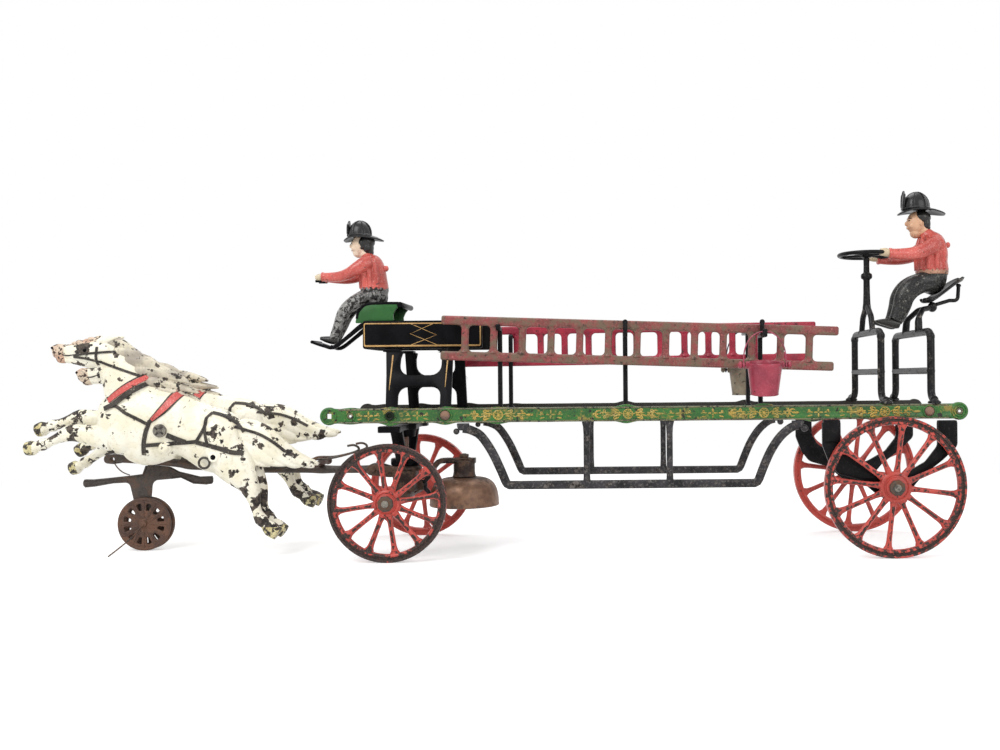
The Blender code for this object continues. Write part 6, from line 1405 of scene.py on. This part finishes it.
def bucket(prefix, side, rim, finish, wire_finish, tip):
    """A tapered pail with a rolled rim, ears with balls and a bail through them; it hangs tipped by a few degrees."""
    x, y, base, ear = RACK_X["rear_rack"], side * 61.5, rim - 24, rim - 2
    profile = [(0, base + 0.5), (8.9, base + 0.5), (9.4, base), (10.2, base), (10.5, base + 0.5), (10.3, base + 1.3),
               (12.3, rim - 6.4), (12.6, rim - 4.6), (12.75, rim - 3),
               (12.95, rim - 2.6), (13.15, rim - 1.5), (13.05, rim - 0.4), (12.8, rim), (12.2, rim - 0.3),
               (11.9, rim - 1), (11.5, rim - 3), (9.1, base + 2), (8.4, base + 1.4), (0, base + 1.3)]
    pieces = [spun("pail", profile, (x, y, 0), "Z", 48)]
    ears = ((0, 12.2), (2.8, 12.2), (2.6, 14), (1.05, 14.2), (1, 16.4), (1.9, 16.7), (2.6, 17.5), (2.7, 18.3),
            (2.2, 19.2), (1, 19.8), (0, 19.9))
    pieces += [spun("ear", [(radius, way * out) for radius, out in ears], (x, y, ear), "X", 24) for way in (-1, 1)]
    pail = joined("pail", pieces)
    pail.data.transform(about((x, y, ear), side * -tip, "X"))
    fit(pail, prefix + "_bucket_pail", finish, prefix + "_bucket", (prefix + "_bucket",), 50)
    hang = hook_level(side, x) - PEG_DROP + PEG_HIGH + 1.5
    arc = [(x - 15.6 * cos(angle), y, ear + 1.7 + (hang - ear - 1.7) * sin(angle) ** 0.8)
           for angle in (pi * k / 32 for k in range(33))]
    pieces = [wire("bail", arc, 0.5, 4)]
    pieces += [spun("bail_eye", ring(1.9, way * 15.6, 0.62, 10), (x, y, ear), "X", 24, closed=True)
               for way in (-1, 1)]
    fit(pieces, prefix + "_bucket_bail_wire", wire_finish, prefix + "_bail",
        (prefix + "_bucket_bail",), 50)


bucket("near", -1, 144, near_bucket_enamel, bail_wire, 8)
bucket("far", 1, 141.8, far_bucket_enamel, dark_iron, 0)

# Truck, pole and traces, the small carriage, hangers, axles and nuts


# Bolster: a bar with rounded ends, a boss with the turntable's upper ring, and two curved legs
BEAM = [
    (-88.6, -57.7, 2), (-71.4, -57.7, 2), (-71.4, -49, 3), (-74.2, -44, 3), (-74.2, -12, 3), (-69.4, -7, 4)]
beam = BEAM[1:] + [(x, -y, *r) for x, y, *r in BEAM[:0:-1]]
beam += [(2 * FRONT_X - 0.8 - x, -y, *r) for x, y, *r in beam]
pieces = [cutout("beam", rounded(beam, 5), 4.7, "XY", 96.55, (ring(FRONT_X, 0, 2.9, 24),), 0.6),
          spun("boss", [(2.9, 88.4), (7.4, 88.4), (8.2, 89.4), (8.6, 93), (9.8, 94.6), (2.9, 94.6)],
               (FRONT_X, 0, 0), "Z", 36, closed=True),
          spun("upper_ring", [(2.9, 65.75), (10.8, 65.75), (11.5, 66.4), (11.6, 70), (11, 71.2), (8.6, 71.4),
                              (7.6, 70.6), (2.9, 70.6)], (FRONT_X, 0, 0), "Z", 44, closed=True)]
for side in (-1, 1):
    leg = flowing([(side * 31, 95.4, 7.5), (side * 29, 91.6, 5.4), (side * 25.6, 86.4, 4.6), (side * 18.5, 77.8, 4.6),
                   (side * 11, 70.6, 5.6), (side * 7.4, 68.4, 4.6)], 4)
    pieces.append(cutout("leg", strap_outline(leg, 5), 9, "YZ", FRONT_X, soft=0.8))
fit(pieces, "front_bolster_casting", black_enamel, "wagon", ("front_bolster",), 50)

pieces = [peg("pin", 2.55, 52.2, 100.6, (FRONT_X, 0, 0), "Z", 0.5, 24),
          spun("pin_head", [(0, 99.25), (4.6, 99.25), (5, 99.7), (4.6, 100.8), (2.8, 101.6), (0, 101.7)],
               (FRONT_X, 0, 0), "Z", 28)]
fit(pieces, "king_pin_riveted", rivet_iron, "wagon", ("king_pin",), 50)

# Truck: lower turntable, neck, the housing round the axle and the jaws for the pole
pieces = [spun("turntable", [(2.9, 61.2), (10.6, 61.2), (11.9, 61.9), (12.3, 62.8), (12.3, 64.2), (11.7, 65.1),
                             (10.6, 65.35), (2.9, 65.35)], (FRONT_X, 0, 0), "Z", 44, closed=True)]
neck = rounded([(-12, 62, 1), (-10.4, 54, 8), (-12, 45, 2), (12, 45, 2), (10.4, 54, 8), (12, 62, 1)], 5)
pieces += [cutout("cheek", neck, 4.2, "YZ", x, soft=0.8) for x in (-85.3, -73.1)]
pieces += [cutout("web", board_outline(-87.2, -71.2, 45.4, 61.8, 1, 4), 5, "XZ", side * 9, soft=0.8)
           for side in (-1, 1)]
beam = [
    (-53, 3.7, 4.6), (-51.8, 4.8, 5.1), (-46, 5, 5.3), (-40, 4.5, 4.9), (-20, 4.6, 4.9), (-12, 5.2, 5.4),
    (12, 5.2, 5.4), (20, 4.6, 4.9), (40, 4.5, 4.9), (46, 5, 5.3), (51.8, 4.8, 5.1), (53, 3.7, 4.6)]
tube_in, tube_out = [(3.3, y) for y, _, _ in beam], [(b, y) for y, _, b in beam]
pieces.append(spun("housing", tube_out + tube_in[::-1], (FRONT_X, 0, FRONT_RADIUS), "Y", 40, closed=True))
jaw = rounded([(-84, 56.6), (-84, 64.6), (-92, 64.8, 6), (-98, 66.6, 6), (-109, 66.6, 3.9),
               (-109, 58.4, 3.9), (-98, 57.6, 8), (-92, 56.6, 6)], 6)
pieces += [cutout("jaw", jaw, 3.4, "XZ", side * 5.7, soft=0.7) for side in (-1, 1)]
pieces.append(peg("hinge", 1.6, -8.6, 8.6, POLE_HINGE, "Y", 0.3, 20))
pieces += heads("hinge_head", [(0, 9), (1.6, 8.9), (2.6, 8.2), (2.8, 7.4), (0, 7.4)], POLE_HINGE, 22)
pieces += [cutout("lug", strap_outline([(-76, 45.6, 8.6), (-72, 47.4, 6.8), (-67.6, 48.4, 6.4)], 7), 3, "XZ", 10,
                  soft=0.5),
           peg("stud", 1.55, 9, 17.2, (HAMMER_X, 0, HAMMER_Z), "Y", 0.3, 20),
           spun("stud_head", [(0, 16.2), (2.8, 16.2), (2.7, 17.2), (1.6, 17.8), (0, 17.9)], (HAMMER_X, 0, HAMMER_Z),
                "Y", 22)]
fit(pieces, "truck_body_casting", rusty_iron, "front_truck", ("truck_body",), 50)

NUT_TURN = degrees(0.3)
for name, centre, body in (("front_axle", (FRONT_X, 0, FRONT_RADIUS), "front_truck"),
                           ("rear_axle", (REAR_X, 0, REAR_RADIUS), "wagon")):
    pieces, ends = [peg("rod", 2.95, -70.9, 70.9, centre, "Y", 0.3, 28)], []
    for side in (-1, 1):
        nut = peg("nut", 6, side * 69.3, side * 71.6, centre, "Y", 0.7, 8)
        nut.data.transform(about(centre, NUT_TURN))
        pieces.append(nut)
        ends.append(peg("peened_end", 2.7, side * 71.4, side * 72.5, centre, "Y", 0.5, 12))
    fit(ends, name + "_ends", rosette_iron, body)
    fit(pieces, name + "_and_nuts", nut_iron, body, (name,), 50)

# Pole: thicker at the jaws and at its cast eyes
POLE = (
    (-101, 62.5, 1.1), (-106, 62.5, 1.3), (-111, 62.5, 1.05), (-134.7, 62.6, 1), (-146, 62.8, 1.15),
    (-158, 63, 1), (-196.8, 63.4, 1), (-220, 64.4, 1), (-240, 66, 1.05), (-251, 67.4, 1.3),
    (-262, 68.8, 1.05), (-290.6, 71.4, 1), (-305, 72.3, 1))
pieces = [wire("pole", [(x, 0, z, share) for x, z, share in flowing(POLE, 4)], 3, 5),
          spun("pole_eye", [(1.95, -3.5), (4.2, -3.5), (4.8, -2.9), (4.8, 2.9), (4.2, 3.5), (1.95, 3.5)], POLE_HINGE,
               "Y", 28, closed=True)]
tip = rounded([(-318.4, 75.6, 3.2), (-318.4, 69.2, 3.2), (-311, 68.4, 6), (-303, 69.4, 2.4), (-303, 75.4, 2.4),
               (-311, 76.4, 6)], 5)
pieces.append(cutout("tip", tip, 5, "XZ", 0, (ring(-311.4, 72.4, 1.5, 20),), 0.7))
lug = rounded([(-259, 67.6, 2), (-243.6, 67.6, 2), (-246.4, 76, 8), (-246.8, 87.9, 4.2), (-255.8, 87.9, 4.2),
               (-256.2, 76, 8)], 6)
pieces.append(cutout("lug", lug, 4.4, "XZ", 0, (ring(HORSE_PIVOT[0], HORSE_PIVOT[2], 2.3, 20),), 0.7))
fit(pieces, "pole_casting", pole_iron, "pole", ("pole",), 50)

tree_line = [(-146, y, 68.1, share) for y, share in ((-19.6, 0.9), (-18.4, 1.5), (-16.6, 1.5), (-15.2, 0.95), (-8, 1),
                                                       (-3, 1.35), (3, 1.35), (8, 1), (15.2, 0.95), (16.6, 1.5),
                                                       (18.4, 1.5), (19.6, 0.9))]
knob = [(0, 73.5), (1.7, 73.3), (2.6, 72.4), (2.6, 71.2), (1.9, 70.4), (1.8, 69.6), (2.6, 68.4), (0, 68)]
fit([wire("bar", tree_line, 2, 4), spun("knob", knob, (-146, 0, 0), "Z", 24)], "whippletree_casting", brown_iron,
    "pole", ("whippletree",), 50)
TRACE = (
    (-178, 0, 63.3), (-160, 0, 68.6), (-152, 0, 71.6), (-140, 0, 71.8), (-128, 0, 74), (-115, 0.6, 77.8),
    (-113.4, 1.2, 80.6), (-117, 1.4, 82.6), (-122, 0.8, 82))
for prefix, side in SIDES:
    fit(wire("trace", [(x, side * (11.5 + y), z) for x, y, z in flowing(TRACE, 5)], 0.9, 4), prefix + "_trace_wire",
        nut_iron, "pole", (prefix + "_trace",), 50)

# Small carriage: a cast plate with raised edges between two pierced wheels
SHAPE = (
    (-50, 56.4, 2.6), (-49.6, 49.8, 2.6), (-40, 50.6, 8), (-25.7, 53.1, 8), (-12.9, 53.6, 4), (-9.2, 37, 10),
    (-6.4, 21, 5), (-3.6, 15.6, 3.4), (3.6, 15.6, 3.4), (5.2, 21, 5), (3.7, 37, 10), (5.2, 55, 5),
    (19.8, 56.2, 5), (27.7, 57.2, 4), (37.8, 52.2, 5), (48.3, 51.4, 3), (53.2, 52.4, 1.8), (53.2, 58.2, 1.8),
    (42.8, 57.8, 5), (25.8, 62, 6), (18.4, 65.98), (1.8, 67.78), (-1.2, 60.4, 4), (-12.2, 59, 4),
    (-30.6, 57.2, 8), (-42, 56.2, 8))
outline = rounded([(CARRIAGE_X + c[0], *c[1:]) for c in SHAPE], 4)
pieces = [cutout("plate", outline, 2.3, "XZ", 0, (ring(CARRIAGE_X, CARRIAGE_RADIUS, 1.6, 20),), 0.4)]
for side in (-1, 1):
    pieces.append(spun("boss", [(1.6, 0), (3.6, 0), (3.6, side * 1.3), (3.1, side * 1.7), (1.6, side * 1.7)],
                       CARRIAGE_AXLE, "Y", 28, closed=True))
    for line in ([(-48.6, 55.6), (-42, 55.5), (-30.6, 56.5), (-12.4, 58.3), (-2, 59.7), (0.6, 66.6)],
                 [(-48, 50.7), (-40, 51.4), (-25.7, 53.8), (-14.2, 54.3)], [(-7.6, 34), (-5, 24)],
                 [(3.2, 34), (4.8, 22)], [(19, 65), (26, 61.2), (42.6, 57.1), (52.4, 57.4)],
                 [(20.4, 56.9), (28.2, 57.8), (38.2, 52.9), (52, 52.6)]):
        pieces.append(wire("edge", [(CARRIAGE_X + x, side, z) for x, z in line], 0.75, 2))
fit(pieces, "carriage_frame_casting", pole_iron, "pole", ("carriage_frame",), 50)

TYRE = [(18.4, 2.1), (18.8, 1.9), (20.4, 1.9), (20.9, 2.3), (21, 3.4), (20.9, 4.5), (20.4, 4.9), (18.8, 4.9),
        (18.4, 4.6)]
SMALL_HUB = [(1.62, 1.9), (4.6, 1.9), (5.4, 2.3), (5.6, 3.4), (5.4, 4.4), (4, 4.7), (2.8, 4.9), (1.62, 4.9)]
for prefix, side, turn_start in (("near", -1, 0), ("far", 1, 8)):
    holes = [ring(CARRIAGE_X, CARRIAGE_RADIUS, 1.62, 20)]
    for k in range(12):
        middle = 2 * pi * (k + 0.5) / 12 + radians(turn_start)
        corners = ((10.8, -0.10, 0.7), (16.4, -0.135, 0.9), (16.4, 0.135, 0.9), (10.8, 0.10, 0.7))
        holes.append(rounded([(CARRIAGE_X + r * cos(middle + t), CARRIAGE_RADIUS + r * sin(middle + t), c)
                              for r, t, c in corners], 3))
    pieces = [cutout("disc", ring(CARRIAGE_X, CARRIAGE_RADIUS, CARRIAGE_RADIUS, 72), 2.5, "XZ", side * 3.4, holes),
              spun("tyre", TYRE, CARRIAGE_AXLE, "Y", 72, closed=True),
              spun("hub", SMALL_HUB, CARRIAGE_AXLE, "Y", 36, closed=True)]
    for k in range(12):
        angle = 2 * pi * k / 12 + radians(turn_start)
        pieces.append(wire("rib", [(CARRIAGE_X + r * cos(angle), 4.4, CARRIAGE_RADIUS + r * sin(angle))
                                   for r in (4.8, 11, 18.6)], 0.75, 2))
    if side < 0:
        pieces[1:] = [mirrored(piece) for piece in pieces[1:]]
    fit(pieces, prefix + "_carriage_wheel_casting", brown_iron, "carriage_wheels",
        (prefix + "_carriage_wheel",), 50)
pieces = [peg("axle", 1.28, -6, 6, CARRIAGE_AXLE, "Y", 0.2, 20)]
pieces += heads("axle_head", [(0, 6.6), (1.4, 6.5), (2.4, 6), (2.6, 5.3), (0, 5.2)], CARRIAGE_AXLE, 24)
fit(pieces, "carriage_axle_riveted", brown_iron, "pole", ("carriage_axle",), 50)

pieces = [peg("rod", 1.95, -45.4, 45.4, HORSE_PIVOT, "Y", 0.2, 24)]
pieces += heads("rod_head", [(0, 46.7), (1.8, 46.5), (3.1, 45.8), (3.6, 44.9), (0, 44.9)], HORSE_PIVOT, 28)
fit(pieces, "horse_rod_riveted", horse_enamel, "pole", ("horse_rod",), 50)

# Rear hangers: a curved casting that carries the axle, with a shoe under the rail at each end
HANGER = (
    (-51.4, 98.9), (-37.9, 98.9), (-37.9, 84, 5), (-33.3, 76, 6), (-9.3, 60.5, 9), (8.7, 60.5, 9),
    (24.7, 69.5, 6), (33.7, 81, 6), (33.7, 98.4), (48.3, 98.4), (48.3, 81, 6), (37.7, 71, 6), (21.7, 58.5, 8),
    (8.7, 43, 8), (-8.3, 43, 8), (-24.3, 56.5, 8), (-39.9, 61, 8), (-46.8, 70, 6), (-51.4, 82, 6))
outline = rounded([(REAR_X + c[0], *c[1:]) for c in HANGER], 5)
for prefix, side in SIDES:
    pieces = [cutout("hanger", outline, 4, "XZ", side * RAIL_Y, (ring(REAR_X, REAR_RADIUS, 3.3, 28),), 0.7),
              spun("boss", [(3.3, side * 53.2), (6.6, side * 53.2), (7.4, side * 53.8), (7.4, side * 57.8),
                            (6.6, side * 58.2), (3.3, side * 58.2)], (REAR_X, 0, REAR_RADIUS), "Y", 36, closed=True)]
    for left, right, high in ((241.7, 253.9, 101), (326.6, 339.9, 100)):
        shoe = rounded([(left, 84.6, 1.6), (right, 84.6, 1.6), (right, high, 0.8), (left, high, 0.8)])
        pieces.append(cutout("shoe", shoe, 6.8, "XZ", side * RAIL_Y, soft=0.8))
    fit(pieces, prefix + "_hanger_casting", hanger_enamel, "wagon", (prefix + "_rear_hanger",),
        50)

# Loose ends of wire left on the carriage
LOOSE_WIRES = (([(-283, -5.6, 23.6), (-285.6, -7, 20), (-290, -20, 11), (-297, -38, 1.4)], 0.55),
               ([(-311.4, -2.9, 72.4), (-307, -3.4, 66), (-303, -2.6, 62), (-298, -1.6, 59.6)], 0.45))
loose = [wire("loose_wire", flowing(line, 4), radius, 2) for line, radius in LOOSE_WIRES]
fit(loose, "loose_wire_ends", nut_iron, "pole", angle=50)

# Floor, light and camera


def seen_directly(tree):
    """One where the camera looks straight at a surface or at its image in a gloss, nought for all other light."""
    rays = add(tree, "ShaderNodeLightPath").outputs
    return sums(tree, "MAXIMUM", sums(tree, "MAXIMUM", rays["Is Camera Ray"], rays["Is Glossy Ray"]),
                rays["Is Transmission Ray"])


FLOOR_SIZE = 12
fresh()
bpy.ops.mesh.primitive_plane_add(size=FLOOR_SIZE, location=(0, 0, 0))
floor = bpy.context.object
floor.name = "studio_floor"
pale, tree = blank("studio_floor_pale")
matt = add(tree, "ShaderNodeBsdfDiffuse", values={"Color": linear("e6e6e6")})
glow = add(tree, "ShaderNodeEmission", values={"Color": linear("ffffff"), "Strength": 0.42})
lit = add(tree, "ShaderNodeAddShader", links={0: matt.outputs[0], 1: glow.outputs[0]})
far_glow = add(tree, "ShaderNodeEmission", values={"Color": linear("ffffff"), "Strength": 1})
place = add(tree, "ShaderNodeTexCoord").outputs["Object"]
span = add(tree, "ShaderNodeVectorMath", {"operation": "LENGTH"}, links={0: place}).outputs["Value"]
shown = add(tree, "ShaderNodeMixShader", links={0: between(tree, span, 0.45, 0.9), 1: lit.outputs[0],
                                                2: far_glow.outputs[0]})
either = add(tree, "ShaderNodeMixShader", links={0: seen_directly(tree), 1: matt.outputs[0],
                                                 2: shown.outputs[0]})
add(tree, "ShaderNodeOutputMaterial", links={"Surface": either.outputs[0]})
floor.data.materials.append(pale)

sky = bpy.data.worlds.new("studio_white")
sky.use_nodes = True
sky.node_tree.nodes.clear()
tree = sky.node_tree
strength = add(tree, "ShaderNodeMapRange", values={"To Min": 0.55, "To Max": 1},
               links={"Value": seen_directly(tree)})
glow = add(tree, "ShaderNodeBackground", values={"Color": linear("ffffff")}, links={"Strength": strength.outputs[0]})
add(tree, "ShaderNodeOutputWorld", links={"Surface": glow.outputs[0]})
bpy.context.scene.world = sky


def lamp(name, place, target, power, size):
    """A soft square lamp aimed at a point."""
    bpy.ops.object.light_add(type="AREA", location=place)
    made = bpy.context.object
    made.name = name
    made.data.shape = "SQUARE"
    made.data.size = size
    made.data.energy = power
    made.rotation_mode = "QUATERNION"
    made.rotation_quaternion = (Vector(target) - Vector(place)).to_track_quat("-Z", "Y")


lamp("key_lamp", (-0.75, -1.1, 1.25), (0, 0, 0.1), 15, 0.9)
lamp("fill_lamp", (1.1, -1.2, 0.8), (0.05, 0, 0.1), 8, 1)
lamp("top_lamp", (0, 0.5, 1.5), (0, 0, 0.1), 9, 1.1)

# The camera looks level along +Y; the place it faces lies off the middle of the picture, in picture points
LENS, ROLL, CAMERA_Y = 36, 0.5, -795.5
PICTURE_WIDE, PICTURE_HIGH = 1000, 750
FACED_U, FACED_V = 620, 378
bpy.ops.object.camera_add(location=Vector((CAMERA_X, CAMERA_Y, CAMERA_Z)) * MM)
camera = bpy.context.object
camera.name = "photo_camera"
camera.data.lens = LENS
camera.data.sensor_width = 36
camera.data.shift_x = (PICTURE_WIDE / 2 - FACED_U) / PICTURE_WIDE
camera.data.shift_y = (FACED_V - PICTURE_HIGH / 2) / PICTURE_WIDE
camera.data.clip_start = 0.05
camera.data.clip_end = 50
camera.rotation_mode = "QUATERNION"
camera.rotation_quaternion = (Matrix.Rotation(radians(ROLL), 3, "Y")
                              @ Matrix.Rotation(radians(90), 3, "X")).to_quaternion()
bpy.context.scene.camera = camera
bpy.context.scene.view_settings.view_transform = "Standard"
